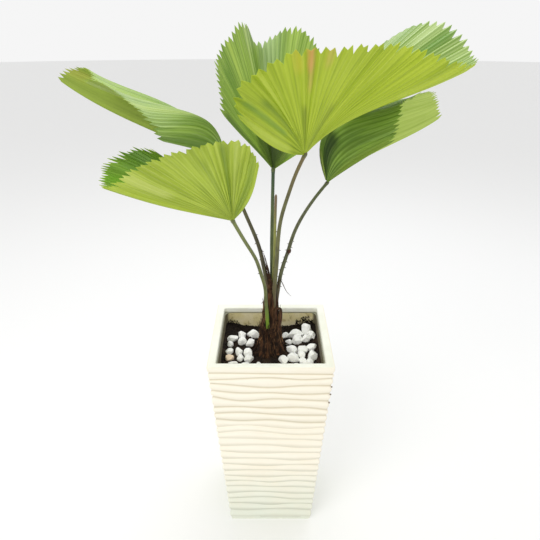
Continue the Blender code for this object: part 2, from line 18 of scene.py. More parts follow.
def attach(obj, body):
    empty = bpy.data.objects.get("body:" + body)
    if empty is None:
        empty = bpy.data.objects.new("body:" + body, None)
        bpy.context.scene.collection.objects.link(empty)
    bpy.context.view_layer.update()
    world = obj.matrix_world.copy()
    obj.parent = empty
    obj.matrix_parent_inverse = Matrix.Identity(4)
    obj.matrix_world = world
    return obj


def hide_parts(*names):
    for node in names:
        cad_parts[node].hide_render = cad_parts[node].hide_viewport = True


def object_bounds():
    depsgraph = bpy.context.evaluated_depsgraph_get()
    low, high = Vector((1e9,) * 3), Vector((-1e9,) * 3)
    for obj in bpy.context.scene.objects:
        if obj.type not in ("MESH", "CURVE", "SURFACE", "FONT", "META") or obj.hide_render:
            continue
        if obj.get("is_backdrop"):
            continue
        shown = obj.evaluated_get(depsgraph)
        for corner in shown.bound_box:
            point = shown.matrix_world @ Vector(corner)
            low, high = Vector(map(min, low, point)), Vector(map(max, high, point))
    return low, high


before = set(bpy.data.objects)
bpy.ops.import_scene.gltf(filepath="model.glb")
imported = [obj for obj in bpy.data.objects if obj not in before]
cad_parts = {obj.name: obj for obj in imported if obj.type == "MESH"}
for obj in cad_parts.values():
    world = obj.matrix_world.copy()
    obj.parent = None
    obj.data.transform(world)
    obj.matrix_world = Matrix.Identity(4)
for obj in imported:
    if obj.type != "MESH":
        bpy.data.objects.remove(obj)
cad_low, cad_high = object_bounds()
print("nodes in the frame:", len(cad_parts))
print("size of the part in metres:", [round(b - a, 3) for a, b in zip(cad_low, cad_high)])

# %% [markdown]
# ## Camera
#
# The plant is seen from a standing person's height, looking down at it by a quarter of a right
# angle. A camera could be aimed by eye, but the planter is a square of known size, so its corners
# give the height, the tilt and the focal length together.

# %% Camera
CAMERA_PLACE = (-0.002, -1.204, 1.382)
CAMERA_DROP = math.radians(25.47)
FOCAL_PIXELS = 498.6
PICTURE_WIDTH = 540
SENSOR_WIDTH = 36.0

bpy.ops.object.camera_add(location=CAMERA_PLACE, rotation=(math.pi / 2 - CAMERA_DROP, 0.0, 0.0))
camera = bpy.context.object
camera.name = "camera"
camera.data.sensor_width = SENSOR_WIDTH
camera.data.lens = SENSOR_WIDTH * FOCAL_PIXELS / PICTURE_WIDTH
camera.data.clip_end = 60.0
bpy.context.scene.camera = camera
# The part's greens and its near white planter keep their own colours under the plain transform
bpy.context.scene.view_settings.view_transform = "Standard"
print("lens in mm:", round(camera.data.lens, 2))

# %% [markdown]
# ## Node helpers
#
# Every finish below is a small net of shader nodes. Short functions add a node, feed a socket with a
# link or a plain value, make a colour from the usual 0 to 255 numbers, and lay one tint over another
# through a mask. Writing them once keeps each material short enough to read.

# %% Node helpers
def paint(red, green, blue):
    """A colour given as screen values from 0 to 255, as the linear values a shader needs."""
    shares = [value / 255 for value in (red, green, blue)]
    linear = [s / 12.92 if s <= 0.04045 else ((s + 0.055) / 1.055) ** 2.4 for s in shares]
    return (*linear, 1.0)


def add_node(tree, kind, **settings):
    made = tree.nodes.new(kind)
    for name, value in settings.items():
        setattr(made, name, value)
    return made


def feed(tree, socket, value):
    """Link an output into the socket, or set the socket's own value."""
    if isinstance(value, bpy.types.NodeSocket):
        tree.links.new(value, socket)
    elif value is not None:
        socket.default_value = value


def sums(tree, operation, first, second=None, third=None):
    made = add_node(tree, "ShaderNodeMath", operation=operation)
    for socket, value in zip(made.inputs, (first, second, third)):
        feed(tree, socket, value)
    return made.outputs[0]


def blend(tree, share, first, second):
    """Colour between the first and the second by the share."""
    made = add_node(tree, "ShaderNodeMix", data_type="RGBA")
    feed(tree, made.inputs[0], share)
    feed(tree, made.inputs[6], first)
    feed(tree, made.inputs[7], second)
    return made.outputs[2]


def layer(tree, colour, tint, mask, strength):
    """The tint laid over the colour where the mask lies, as thickly as the strength says."""
    return blend(tree, sums(tree, "MULTIPLY", mask, strength), colour, tint)


def ease(tree, value, low, high, start=0.0, end=1.0):
    """The value stretched smoothly from low..high to start..end, and held beyond them."""
    made = add_node(tree, "ShaderNodeMapRange", interpolation_type="SMOOTHSTEP")
    for socket, number in zip(made.inputs, (value, low, high, start, end)):
        feed(tree, socket, number)
    return made.outputs[0]


def coordinates(tree, kind):
    """The parts x, y and z of Object coordinates, or U and V of the UV map."""
    parts = add_node(tree, "ShaderNodeSeparateXYZ")
    feed(tree, parts.inputs[0], add_node(tree, "ShaderNodeTexCoord").outputs[kind])
    return parts.outputs


def joined(tree, *parts):
    """One place made of its parts."""
    made = add_node(tree, "ShaderNodeCombineXYZ")
    for socket, part in zip(made.inputs, parts):
        feed(tree, socket, part)
    return made.outputs[0]


def object_place(tree, stretch=(1.0, 1.0, 1.0)):
    """Object coordinates, stretched along each axis."""
    where = add_node(tree, "ShaderNodeTexCoord").outputs["Object"]
    mapping = add_node(tree, "ShaderNodeMapping")
    feed(tree, mapping.inputs["Vector"], where)
    feed(tree, mapping.inputs["Scale"], stretch)
    return mapping.outputs[0]


def cloud(tree, where, scale, detail=3.0, rough=0.55):
    """Soft noise from 0 to 1."""
    made = add_node(tree, "ShaderNodeTexNoise")
    feed(tree, made.inputs["Vector"], where)
    feed(tree, made.inputs["Scale"], scale)
    feed(tree, made.inputs["Detail"], detail)
    feed(tree, made.inputs["Roughness"], rough)
    return made.outputs["Fac"]


def new_group(name, inputs, outputs):
    """An empty node group with named sockets, and its two end nodes."""
    group = bpy.data.node_groups.new(name, "ShaderNodeTree")
    for label, value in inputs.items():
        socket = group.interface.new_socket(label, in_out="INPUT", socket_type="NodeSocketFloat")
        socket.default_value = value
    for label in outputs:
        group.interface.new_socket(label, in_out="OUTPUT", socket_type="NodeSocketFloat")
    return group, group.nodes.new("NodeGroupInput"), group.nodes.new("NodeGroupOutput")


def use_group(tree, group, **values):
    """Place a group in a material with its own values, and give its outputs."""
    made = add_node(tree, "ShaderNodeGroup", node_tree=group)
    for label, value in values.items():
        feed(tree, made.inputs[label.replace("_", " ")], value)
    return made.outputs


def new_material(name, roughness, **constants):
    """A material with its shader, whose unchanging values sit on the shader's own sockets."""
    material = bpy.data.materials.new(name)
    material.use_nodes = True
    tree = material.node_tree
    shader = tree.nodes["Principled BSDF"]
    shader.inputs["Roughness"].default_value = roughness
    for label, value in constants.items():
        shader.inputs[label.replace("_", " ")].default_value = value
    return material, tree, shader


def add_bump(tree, shader, height, strength, distance):
    bump = add_node(tree, "ShaderNodeBump")
    feed(tree, bump.inputs["Height"], height)
    feed(tree, bump.inputs["Strength"], strength)
    feed(tree, bump.inputs["Distance"], distance)
    feed(tree, shader.inputs["Normal"], bump.outputs[0])


# %% [markdown]
# ## Shared effects
#
# Three effects come back in many finishes, so each is one node group. The first is mottling: soft
# patches with an edge as hard as its two limits are close. It could be a painted picture, but a
# picture has seams at the planter's corners, and noise on the object's own coordinates has none.

# %% Mottling group
mottle, start, end = new_group(
    "mottle", {"Scale": 20.0, "Low": 0.4, "High": 0.6, "Upright stretch": 1.0}, ["Mask"])
parts = coordinates(mottle, "Object")
upright = sums(mottle, "MULTIPLY", parts[2], start.outputs["Upright stretch"])
where = joined(mottle, parts[0], parts[1], upright)
patches = cloud(mottle, where, start.outputs["Scale"], detail=4.0, rough=0.6)
feed(mottle, end.inputs["Mask"], ease(mottle, patches, start.outputs["Low"], start.outputs["High"]))
print("inputs of the mottling group:", [socket.name for socket in start.outputs if socket.name])

# %% [markdown]
# ### Folds and veins
#
# The second effect is for the leaves, whose folds, veins and streaks all run from the stalk to the
# margin. On the blade's UV map U runs round the fan and V outwards, so a few sums on U say how far a
# point is from the next fold. Painting veins by hand would need a picture, and noise alone has no
# direction, so a formula on the UV map is the way that follows the blade.

# %% Fan fold group
CREST_PLACE = 0.25
VEINS_PER_PLEAT = 14.0
STRIPES_PER_PLEAT = 4.0

fan_folds, start, end = new_group(
    "fan_folds", {"Pleats": 28.0},
    ["Along", "Crest", "Furrow", "Vein", "Stripe", "Face tone", "Broad", "Fine"])
across, along = coordinates(fan_folds, "UV")[:2]
phase = sums(fan_folds, "MULTIPLY", across, start.outputs["Pleats"])
from_tooth = sums(fan_folds, "PINGPONG", phase, 0.5)
from_crest = sums(fan_folds, "ABSOLUTE", sums(fan_folds, "SUBTRACT", from_tooth, CREST_PLACE))
crest = ease(fan_folds, from_crest, 0.0, 0.13, 1.0, 0.0)
side_furrow = ease(fan_folds, from_tooth, 0.36, 0.50)
middle_furrow = ease(fan_folds, from_tooth, 0.0, 0.14, 0.75, 0.0)
furrow = sums(fan_folds, "MAXIMUM", side_furrow, middle_furrow)
half = sums(fan_folds, "FLOOR", sums(fan_folds, "MULTIPLY", phase, 2.0))
outer_face = sums(fan_folds, "GREATER_THAN", from_tooth, CREST_PLACE)
face = sums(fan_folds, "MULTIPLY_ADD", half, 2.0, outer_face)
chance = add_node(fan_folds, "ShaderNodeTexWhiteNoise", noise_dimensions="1D")
feed(fan_folds, chance.inputs["W"], face)


def wave(lines_per_pleat):
    """Even lines from 0 to 1 and back, as many in each pleat as asked for."""
    turns = sums(fan_folds, "MULTIPLY", phase, lines_per_pleat * 2 * math.pi)
    return sums(fan_folds, "MULTIPLY_ADD", sums(fan_folds, "SINE", turns), 0.5, 0.5)


def streaks(per_pleat, per_rib, detail):
    """Uneven streaks that run from the stalk to the margin."""
    place = joined(fan_folds, sums(fan_folds, "MULTIPLY", phase, per_pleat),
                   sums(fan_folds, "MULTIPLY", along, per_rib))
    return cloud(fan_folds, place, 1.0, detail=detail, rough=0.6)


fold_outputs = {
    "Along": along,
    "Crest": crest,
    "Furrow": furrow,
    "Vein": wave(VEINS_PER_PLEAT),
    "Stripe": wave(STRIPES_PER_PLEAT),
    "Face tone": chance.outputs["Value"],
    "Broad": streaks(0.75, 1.2, 2.0),
    "Fine": streaks(5.5, 1.6, 4.0),
}
for label, value in fold_outputs.items():
    feed(fan_folds, end.inputs[label], value)
print("outputs of the fold group:", list(fold_outputs))

# %% [markdown]
# ### Single rays
#
# On a real leaf no two segments have quite the same green, and sun and wind have dried a few of them
# at the tip. The third effect is a mask for one such ray: a place across the fan, a width, and where
# along the ribs it begins and ends. Rays also paint light and shade: dark ones the shade of a blade's
# broad folds, and pale, whitish and bluish ones the light on them and the waxy sheen. Each ray could
# be cut out as faces with a finish of their own, but its frayed, fading edge would be lost.

# %% Ray group
RAY_FADE = 0.12
RAY_FRAYS = 190.0

ray, start, end = new_group("ray", {"Place": 0.5, "Half width": 0.02, "From": 0.0, "To": 1.0}, ["Mask"])
across, along = coordinates(ray, "UV")[:2]
place = joined(ray, sums(ray, "MULTIPLY", across, RAY_FRAYS), sums(ray, "MULTIPLY", along, 3.0))
frayed = cloud(ray, place, 1.0, detail=3.0)
aside = sums(ray, "ABSOLUTE", sums(ray, "SUBTRACT", across, start.outputs["Place"]))
aside = sums(ray, "DIVIDE", aside, start.outputs["Half width"])
inside = ease(ray, sums(ray, "MULTIPLY_ADD", frayed, 0.9, aside), 0.55, 1.45, 1.0, 0.0)
begun = ease(ray, sums(ray, "SUBTRACT", along, start.outputs["From"]), -RAY_FADE, 0.0)
ended = ease(ray, sums(ray, "SUBTRACT", along, start.outputs["To"]), 0.0, RAY_FADE, 1.0, 0.0)
feed(ray, end.inputs["Mask"], sums(ray, "MULTIPLY", inside, sums(ray, "MULTIPLY", begun, ended)))
print("inputs of the ray group:", [socket.name for socket in start.outputs if socket.name])

# %% [markdown]
# ## Floor and light
#
# A plain pale floor and soft light keep the eye on the plant. A white sky gives light from all
# round, as outdoors under thin cloud, and two wide lamps above give the waxy leaves their pale
# gloss. One hard lamp would throw sharp shadows of the folds, which the real plant doesn't show.

# %% Floor and light
FLOOR_RADIUS = 30.0
FLOOR_WHITE = (0.96, 0.96, 0.955, 1.0)
SKY_LIGHT = 0.82
SKY_SEEN = 0.92

bpy.ops.object.select_all(action="DESELECT")
bpy.ops.mesh.primitive_circle_add(vertices=96, radius=FLOOR_RADIUS, fill_type="NGON")
floor = bpy.context.object
floor.name = "studio_floor"
floor_paint, tree, shader = new_material("floor_paint", 0.9, Specular_IOR_Level=0.1)
shader.inputs["Base Color"].default_value = FLOOR_WHITE
floor.data.materials.append(floor_paint)
floor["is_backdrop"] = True

world = bpy.data.worlds.new("white_sky")
bpy.context.scene.world = world
world.use_nodes = True
sky = world.node_tree.nodes["Background"]
sky.inputs["Color"].default_value = (1.0, 1.0, 1.0, 1.0)
# The sky looks a little brighter to the camera than it shines on the plant
seen = add_node(world.node_tree, "ShaderNodeLightPath").outputs["Is Camera Ray"]
strength = sums(world.node_tree, "MULTIPLY_ADD", seen, SKY_SEEN - SKY_LIGHT, SKY_LIGHT)
feed(world.node_tree, sky.inputs["Strength"], strength)


def add_lamp(name, place, target, size, watts, tint):
    bpy.ops.object.light_add(type="AREA", location=place)
    lamp = bpy.context.object
    lamp.name = name
    lamp.data.shape = "DISK"
    lamp.data.size = size
    lamp.data.energy = watts
    lamp.data.color = tint
    direction = Vector(target) - Vector(place)
    lamp.rotation_euler = direction.to_track_quat("-Z", "Y").to_euler()
    return lamp


add_lamp("key_lamp", (-1.6, -2.2, 3.0), (0.0, 0.0, 0.7), 2.2, 34.0, (1.0, 0.985, 0.95))
add_lamp("top_lamp", (0.5, 1.6, 3.4), (0.0, 0.0, 1.1), 2.6, 26.0, (0.95, 0.98, 1.0))

# %% [markdown]
# ## Shaping helpers
#
# A leaf, a stalk and the planter's wavy wall are all surfaces that a rule describes better than a
# hand can. So each starts as a grid primitive with a corner for every point of the rule, and the
# corners are moved onto those points. The grid brings its own UV map, which the finishes follow.
# A rolled grid is welded along its seam and closed at its ends, and becomes a tube.

# %% Shaping helpers
WELD = 0.000002


def natural_spline(knots, values, places):
    """Values at the places along a natural cubic spline through the values at the knots."""
    step = np.diff(knots)
    count = len(knots)
    table = np.eye(count)
    right = np.zeros(values.shape)
    for i in range(1, count - 1):
        table[i, i - 1:i + 2] = step[i - 1], 2 * (step[i - 1] + step[i]), step[i]
        rise_after = (values[i + 1] - values[i]) / step[i]
        rise_before = (values[i] - values[i - 1]) / step[i - 1]
        right[i] = 6 * (rise_after - rise_before)
    bend = np.linalg.solve(table, right)
    i = np.clip(np.searchsorted(knots, places) - 1, 0, count - 2)
    before = ((knots[i + 1] - places) / step[i])[:, None]
    after = 1 - before
    straight = before * values[i] + after * values[i + 1]
    curve = (before ** 3 - before) * bend[i] + (after ** 3 - after) * bend[i + 1]
    return straight + curve * (step[i] ** 2)[:, None] / 6


def smooth_route(route, count):
    """Evenly spaced points along the smooth curve through a route's own points."""
    points = np.array(route, float)
    lengths = np.linalg.norm(np.diff(points, axis=0), axis=1)
    knots = np.concatenate(([0.0], np.cumsum(lengths)))
    return natural_spline(knots, points, np.linspace(0.0, knots[-1], count))


def unit(vectors):
    return vectors / np.linalg.norm(vectors, axis=-1)[..., None]


def corner_places(piece):
    places = np.empty(len(piece.data.vertices) * 3)
    piece.data.vertices.foreach_get("co", places)
    return places.reshape(-1, 3)


def move_corners(piece, places):
    piece.data.vertices.foreach_set("co", places.astype(np.float32).ravel())
    piece.data.update()


def select_only(piece):
    bpy.ops.object.select_all(action="DESELECT")
    piece.select_set(True)
    bpy.context.view_layer.objects.active = piece


def grid_piece(name, points, along=None):
    """A grid primitive moved onto points given by row and column; V of its UV map is along."""
    rows, columns = points.shape[:2]
    along = np.linspace(0.0, 1.0, rows) if along is None else along
    bpy.ops.object.select_all(action="DESELECT")
    bpy.ops.mesh.primitive_grid_add(x_subdivisions=columns - 1, y_subdivisions=rows - 1, size=1.0)
    piece = bpy.context.object
    piece.name = name
    piece.data.name = name
    flat = corner_places(piece)
    column = np.rint((flat[:, 0] + 0.5) * (columns - 1)).astype(int)
    row = np.rint((flat[:, 1] + 0.5) * (rows - 1)).astype(int)
    move_corners(piece, points[row, column])
    owners = np.empty(len(piece.data.loops), int)
    piece.data.loops.foreach_get("vertex_index", owners)
    uv = np.stack([column[owners] / (columns - 1), along[row[owners]]], axis=1)
    piece.data.uv_layers.active.data.foreach_set("uv", uv.astype(np.float32).ravel())
    return piece


def weld_and_close(piece):
    """Join a rolled grid along its seam, close its two ends and face it outwards."""
    bpy.ops.object.mode_set(mode="EDIT")
    bpy.ops.mesh.select_all(action="SELECT")
    bpy.ops.mesh.remove_doubles(threshold=WELD)
    bpy.ops.mesh.fill_holes(sides=0)
    bpy.ops.mesh.normals_make_consistent(inside=False)
    bpy.ops.object.mode_set(mode="OBJECT")


def finish_piece(piece, angle=60.0):
    """Shade a piece smooth, with folds sharper than the angle left crisp."""
    select_only(piece)
    bpy.ops.object.shade_smooth_by_angle(angle=math.radians(angle))


def join_pieces(pieces, name):
    bpy.ops.object.select_all(action="DESELECT")
    for piece in pieces:
        piece.select_set(True)
    bpy.context.view_layer.objects.active = pieces[0]
    bpy.ops.object.join()
    pieces[0].name = name
    return pieces[0]


def dress(piece, node, slot, *finishes):
    """Give a piece its finishes, hang it on the root, and hide the frame's node that it replaces."""
    piece.data.materials.clear()
    for finish in finishes:
        piece.data.materials.append(finish)
    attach(piece, "root")
    if node:
        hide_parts(node)


def knob_piece(name, place, axis, radii, segments, rings):
    """A ball stretched to its three radii, with the last one along the axis."""
    bpy.ops.object.select_all(action="DESELECT")
    bpy.ops.mesh.primitive_uv_sphere_add(segments=segments, ring_count=rings, radius=1.0)
    knob = bpy.context.object
    knob.name = name
    turn = Vector((0, 0, 1)).rotation_difference(Vector(axis)).to_matrix().to_4x4()
    knob.data.transform(Matrix.Translation(place) @ turn @ Matrix.Diagonal((*radii, 1.0)))
    return knob


def around_stem(reach, angle, height):
    """A point at a reach, angle and height round the middle of the planter."""
    return (reach * math.cos(angle), reach * math.sin(angle), height)


def swept_rings(points, radii, sides, section=None):
    """Rings of corners round a route, each square to it and turned as little as possible."""
    points = np.array(points, float)
    tangents = unit(np.gradient(points, axis=0))
    side = np.cross(tangents[0], (0.0, 1.0, 0.0))
    angles = np.linspace(0.0, 2 * math.pi, sides + 1)
    shape = np.ones(sides + 1) if section is None else section(angles)
    rings = []
    # The side is carried from ring to ring, so that the tube doesn't twist
    for point, tangent, radius in zip(points, tangents, radii):
        side = unit(side - tangent * (side @ tangent))
        up = np.cross(tangent, side)
        around = np.cos(angles)[:, None] * side + np.sin(angles)[:, None] * up
        rings.append(point + radius * shape[:, None] * around)
    rings = np.array(rings)
    rings[:, -1] = rings[:, 0]
    return rings


print("a straight route of 5 points:", smooth_route([(0, 0, 0), (0, 0, 1)], 5)[:, 2])

# %% [markdown]
# ## Planter
#
# The planter is one cast, square, tapered tub. Its wall is covered with wavy slats: each swells out
# gently and tucks under at a narrow crease. One could cut the creases into a plain tub with
# Booleans, but they never run straight, and a sculpted wall would not repeat cleanly. Here every
# band between two creases gets eight rows of corners that follow one swelling curve, and the
# creases' heights are measured on the front and mirrored from face to face so that they meet.

# %% Planter sizes
PLANTER_HEIGHT = 0.610
TOP_HALF = 0.165
BASE_HALF = 0.125
RIM_WIDTH = 0.022
RIM_BAND = 0.015
LEDGE_WIDTH = 0.003
CAVITY_CORNER = 0.020
RIM_CORNER = 0.004
WALL_CORNER = 0.0035
FLOOR_TOP = 0.030
FLOOR_HALF = 0.1035
CREASE_DEPTH = 0.0045
CREST_SHARE = 0.42
FOOT_DEPTH = 0.002
FACE_COLUMNS = 40
CORNER_STEPS = 4
ROWS_PER_BAND = 8
CREASE_STATIONS = (-1.0, -0.5, 0.0, 0.5, 1.0)
# Heights in mm of the creases over the base, at the stations from a face's left edge to its right
CREASE_HEIGHTS = (
    (591, 590, 588, 587, 586),
    (568, 572, 576, 569, 574),
    (557, 548, 541, 548, 548),
    (532, 523, 524, 518, 521),
    (511, 495, 502, 499, 495),
    (472, 474, 469, 472, 463),
    (450, 454, 447, 443, 443),
    (430, 422, 426, 417, 416),
    (396, 404, 396, 389, 395),
    (374, 382, 375, 366, 367),
    (353, 351, 348, 348, 342),
    (321, 324, 324, 315, 315),
    (301, 293, 292, 295, 294),
    (269, 271, 269, 262, 268),
    (249, 242, 239, 245, 242),
    (217, 221, 221, 216, 215),
    (198, 192, 190, 197, 194),
    (172, 175, 167, 173, 167),
    (150, 150, 147, 146, 143),
    (117, 124, 123, 116, 116),
    (94, 98, 99, 90, 90),
    (72, 70, 63, 70, 68),
    (40, 37, 45, 43, 37),
)


def outer_half(height):
    return BASE_HALF + (TOP_HALF - BASE_HALF) * height / PLANTER_HEIGHT


def cavity_half(height):
    top = PLANTER_HEIGHT - RIM_BAND
    share = (height - FLOOR_TOP) / (top - FLOOR_TOP)
    return FLOOR_HALF + (TOP_HALF - RIM_WIDTH - LEDGE_WIDTH - FLOOR_HALF) * share


def square_row(half, corner, height):
    """A row round the planter from its front left corner; half and height may vary by column."""
    half = np.broadcast_to(half, FACE_COLUMNS + 1)
    height = np.broadcast_to(height, FACE_COLUMNS + 1)
    share = np.linspace(-1.0, 1.0, FACE_COLUMNS + 1)
    row = []
    for side in range(4):
        order = slice(None, None, -1) if side % 2 else slice(None)
        halves = half[order]
        heights = height[order]
        across = (halves - corner) * share
        face = [(a, -h, z) for a, h, z in zip(across, halves, heights)]
        middle = halves[-1] - corner
        for step in range(1, CORNER_STEPS):
            angle = -math.pi / 2 + math.pi / 2 * step / CORNER_STEPS
            face.append((middle + corner * math.cos(angle), -middle + corner * math.sin(angle),
                         heights[-1]))
        for x, y, z in face:
            for _ in range(side):
                x, y = -y, x
            row.append((x, y, z))
    row.append(row[0])
    return row


def swell(share):
    """How far a slat lies back from its crest, from the crease above to the crease below."""
    if share < CREST_SHARE:
        return 1 - math.sin(math.pi / 2 * share / CREST_SHARE)
    return 1 - math.cos(math.pi / 2 * (share - CREST_SHARE) / (1 - CREST_SHARE))


# %% Planter rows
EDGE_ROUNDING = 0.003
EDGE_STEPS = 4
CAVITY_ROWS = 20


def crease_lines():
    """Heights of the rim, the creases and the foot at a face's columns, from the top down."""
    places = np.linspace(-1.0, 1.0, FACE_COLUMNS + 1)
    lines = [np.full(FACE_COLUMNS + 1, PLANTER_HEIGHT)]
    for crease in CREASE_HEIGHTS:
        measured = np.array(crease)[:, None] / 1000
        lines.append(natural_spline(np.array(CREASE_STATIONS), measured, places)[:, 0])
    lines.append(np.zeros(FACE_COLUMNS + 1))
    return lines


def rounded_edge(half, height, start_angle):
    """Rows round a rim edge, from the start angle on by a quarter turn."""
    rows = []
    for step in range(EDGE_STEPS + 1):
        angle = start_angle + math.pi / 2 * step / EDGE_STEPS
        place = half + EDGE_ROUNDING * math.cos(angle)
        rows.append((place, height + EDGE_ROUNDING * math.sin(angle)))
    return rows


def wall_rows():
    """Rows of the creased outside, from the foot up to just under the rim."""
    lines = crease_lines()
    rows = []
    for band, (upper, lower) in enumerate(zip(lines[:-1], lines[1:])):
        for step in range(ROWS_PER_BAND):
            share = step / ROWS_PER_BAND
            if band == 0 and share < CREST_SHARE:
                continue
            heights = upper + (lower - upper) * share
            rows.append(square_row(outer_half(heights) - CREASE_DEPTH * swell(share),
                                   WALL_CORNER, heights))
    rows.append(square_row(BASE_HALF - FOOT_DEPTH, WALL_CORNER, 0.0))
    rows.reverse()
    return rows


def planter_rows():
    """All rows from the foot up, over the rim and down the cavity, and where each finish ends."""
    rows = wall_rows()
    rim = TOP_HALF - RIM_WIDTH
    top = PLANTER_HEIGHT - EDGE_ROUNDING
    for half, height in rounded_edge(TOP_HALF - EDGE_ROUNDING, top, 0.0):
        rows.append(square_row(half, WALL_CORNER, height))
    outer_count = len(rows)
    for half, height in rounded_edge(rim + EDGE_ROUNDING, top, math.pi / 2):
        rows.append(square_row(half, RIM_CORNER, height))
    ledge = PLANTER_HEIGHT - RIM_BAND
    for height in (PLANTER_HEIGHT - 0.006, ledge + 0.0035, ledge + 0.0015):
        rows.append(square_row(rim, RIM_CORNER, height))
    rows.append(square_row(rim + 0.0005, RIM_CORNER + 0.002, ledge))
    rows.append(square_row(cavity_half(ledge), CAVITY_CORNER, ledge))
    band_count = len(rows)
    for height in (ledge - 0.0015, *np.linspace(ledge - 0.006, FLOOR_TOP, CAVITY_ROWS)):
        rows.append(square_row(cavity_half(height), CAVITY_CORNER, height))
    return np.array(rows), outer_count, band_count


points, outer_count, band_count = planter_rows()
print("rows and columns of the planter:", points.shape[:2])

# %% [markdown]
# ### Planter finish
#
# The real tub has a cream, slightly chalky coat. It is whiter on the rim, cooler near the ground,
# and dust has settled in the creases. The creases and the slats' downward faces also get painted
# shade, greyer towards the bottom. Inside, damp has stained the wall yellow, with specks of soil;
# the side walls and a ragged band at the soil's edge are painted nearly black, and a dark line runs
# along the ledge. A single colour would look like plastic, so three finishes share the mottling
# group: the outside, the pale rim, and the stained inside.

# %% Planter finishes
CREAM = paint(254, 248, 232)
CREAM_COOL = paint(234, 238, 223)
# Dust in the creases that also paints their shade; the grey paints that shade low down and colours scuffs
CREASE_DUST_AND_SHADE = paint(214, 204, 178)
SHADE_AND_SCUFF_GREY = paint(170, 170, 150)
RIM_WHITE = paint(254, 254, 244)
RIM_SHADE = paint(244, 243, 226)
STAIN = paint(226, 212, 158)
STAIN_DARK = paint(180, 160, 104)
STAIN_PALE = paint(240, 228, 192)
DARK_OLIVE = paint(92, 90, 52)
CREAM_WARM = paint(248, 234, 208)
WALL_NEAR_BLACK = paint(38, 28, 20)


def stored_mask(tree, label):
    """A mask kept on the piece's own corners."""
    return add_node(tree, "ShaderNodeAttribute", attribute_name=label).outputs["Fac"]


def chalky_bump(tree, shader):
    grains = cloud(tree, object_place(tree), 420.0, detail=2.0)
    lumps = cloud(tree, object_place(tree), 38.0, detail=2.0)
    height = sums(tree, "MULTIPLY_ADD", lumps, 1.6, grains)
    add_bump(tree, shader, height, 0.35, 0.0006)


def wall_finish():
    material, tree, shader = new_material("cream_coat", 0.62, Specular_IOR_Level=0.35)
    height = coordinates(tree, "Object")[2]
    low = ease(tree, height, 0.02, 0.30, 1.0, 0.0)
    colour = blend(tree, low, CREAM, CREAM_COOL)
    patches = use_group(tree, mottle, Scale=9.0, Low=0.35, High=0.75)["Mask"]
    colour = layer(tree, colour, CREAM_WARM, patches, 0.22)
    # The crease lines are dust and painted shade, greyer towards the bottom
    high_up = ease(tree, height, 0.10, 0.52)
    dust_and_shade_colour = blend(tree, high_up, SHADE_AND_SCUFF_GREY, CREASE_DUST_AND_SHADE)
    dust_and_shade = ease(tree, stored_mask(tree, "crease"), 0.40, 1.0)
    colour = layer(tree, colour, dust_and_shade_colour, dust_and_shade, 0.8)
    # Painted shade on the faces that look down, strongest towards the bottom
    shade = ease(tree, height, 0.30, 0.56, 0.38, 0.10)
    colour = layer(tree, colour, dust_and_shade_colour, stored_mask(tree, "underside"), shade)
    scuffs = use_group(tree, mottle, Scale=85.0, Low=0.68, High=0.74)["Mask"]
    low_down = ease(tree, height, 0.06, 0.30, 0.35, 0.05)
    colour = layer(tree, colour, SHADE_AND_SCUFF_GREY, scuffs, low_down)
    feed(tree, shader.inputs["Base Color"], colour)
    chalky_bump(tree, shader)
    return material


def rim_finish():
    material, tree, shader = new_material("pale_rim", 0.55, Specular_IOR_Level=0.35)
    patches = use_group(tree, mottle, Scale=14.0, Low=0.40, High=0.72)["Mask"]
    colour = layer(tree, RIM_WHITE, RIM_SHADE, patches, 0.6)
    # A dark olive line along the ledge, where the crease mask is set
    colour = layer(tree, colour, DARK_OLIVE, stored_mask(tree, "crease"), 0.75)
    feed(tree, shader.inputs["Base Color"], colour)
    chalky_bump(tree, shader)
    return material


def stained_finish():
    material, tree, shader = new_material("stained_inside", 0.75)
    patches = use_group(tree, mottle, Scale=24.0, Low=0.38, High=0.66)["Mask"]
    colour = blend(tree, patches, STAIN, STAIN_PALE)
    blots = use_group(tree, mottle, Scale=60.0, Low=0.56, High=0.68)["Mask"]
    colour = layer(tree, colour, STAIN_DARK, blots, 0.7)
    specks = use_group(tree, mottle, Scale=260.0, Low=0.66, High=0.72)["Mask"]
    colour = blend(tree, specks, colour, DARK_OLIVE)
    # The wall is painted nearly black below a ragged line at the soil's edge, and on the side walls
    x, _, height = coordinates(tree, "Object")
    edge = cloud(tree, object_place(tree), 55.0, detail=5.0, rough=0.7)
    line = sums(tree, "MULTIPLY_ADD", edge, -0.030, height)
    darkened_wall = ease(tree, line, 0.531, 0.536, 1.0, 0.0)
    at_side = sums(tree, "MULTIPLY_ADD", edge, -0.010, sums(tree, "ABSOLUTE", x))
    darkened_wall = sums(tree, "MAXIMUM", darkened_wall, ease(tree, at_side, 0.122, 0.130, 0.0, 0.85))
    colour = blend(tree, darkened_wall, colour, WALL_NEAR_BLACK)
    # A dark olive line along the top of the wall, just under the ledge
    under_ledge = ease(tree, height, 0.5925, 0.5945)
    colour = layer(tree, colour, DARK_OLIVE, under_ledge, 0.85)
    feed(tree, shader.inputs["Base Color"], colour)
    chalky_bump(tree, shader)
    return material


wall_coat = wall_finish()
rim_coat = rim_finish()
stained_coat = stained_finish()

# %% Planter piece
SKIN = 0.0005
WALL_BAND = 0.010
RIM_START = 0.600
LEDGE_REACH = TOP_HALF - RIM_WIDTH + 0.004

planter = grid_piece("planter_body", points)
rows_of_faces = np.arange(len(planter.data.polygons)) // (points.shape[1] - 1)
finishes = np.digitize(rows_of_faces, (outer_count - 1, band_count - 1))
dress(planter, "planter", "planter", wall_coat, rim_coat, stained_coat)
planter.data.polygons.foreach_set("material_index", finishes.astype(np.int32))
weld_and_close(planter)
finish_piece(planter, 50.0)

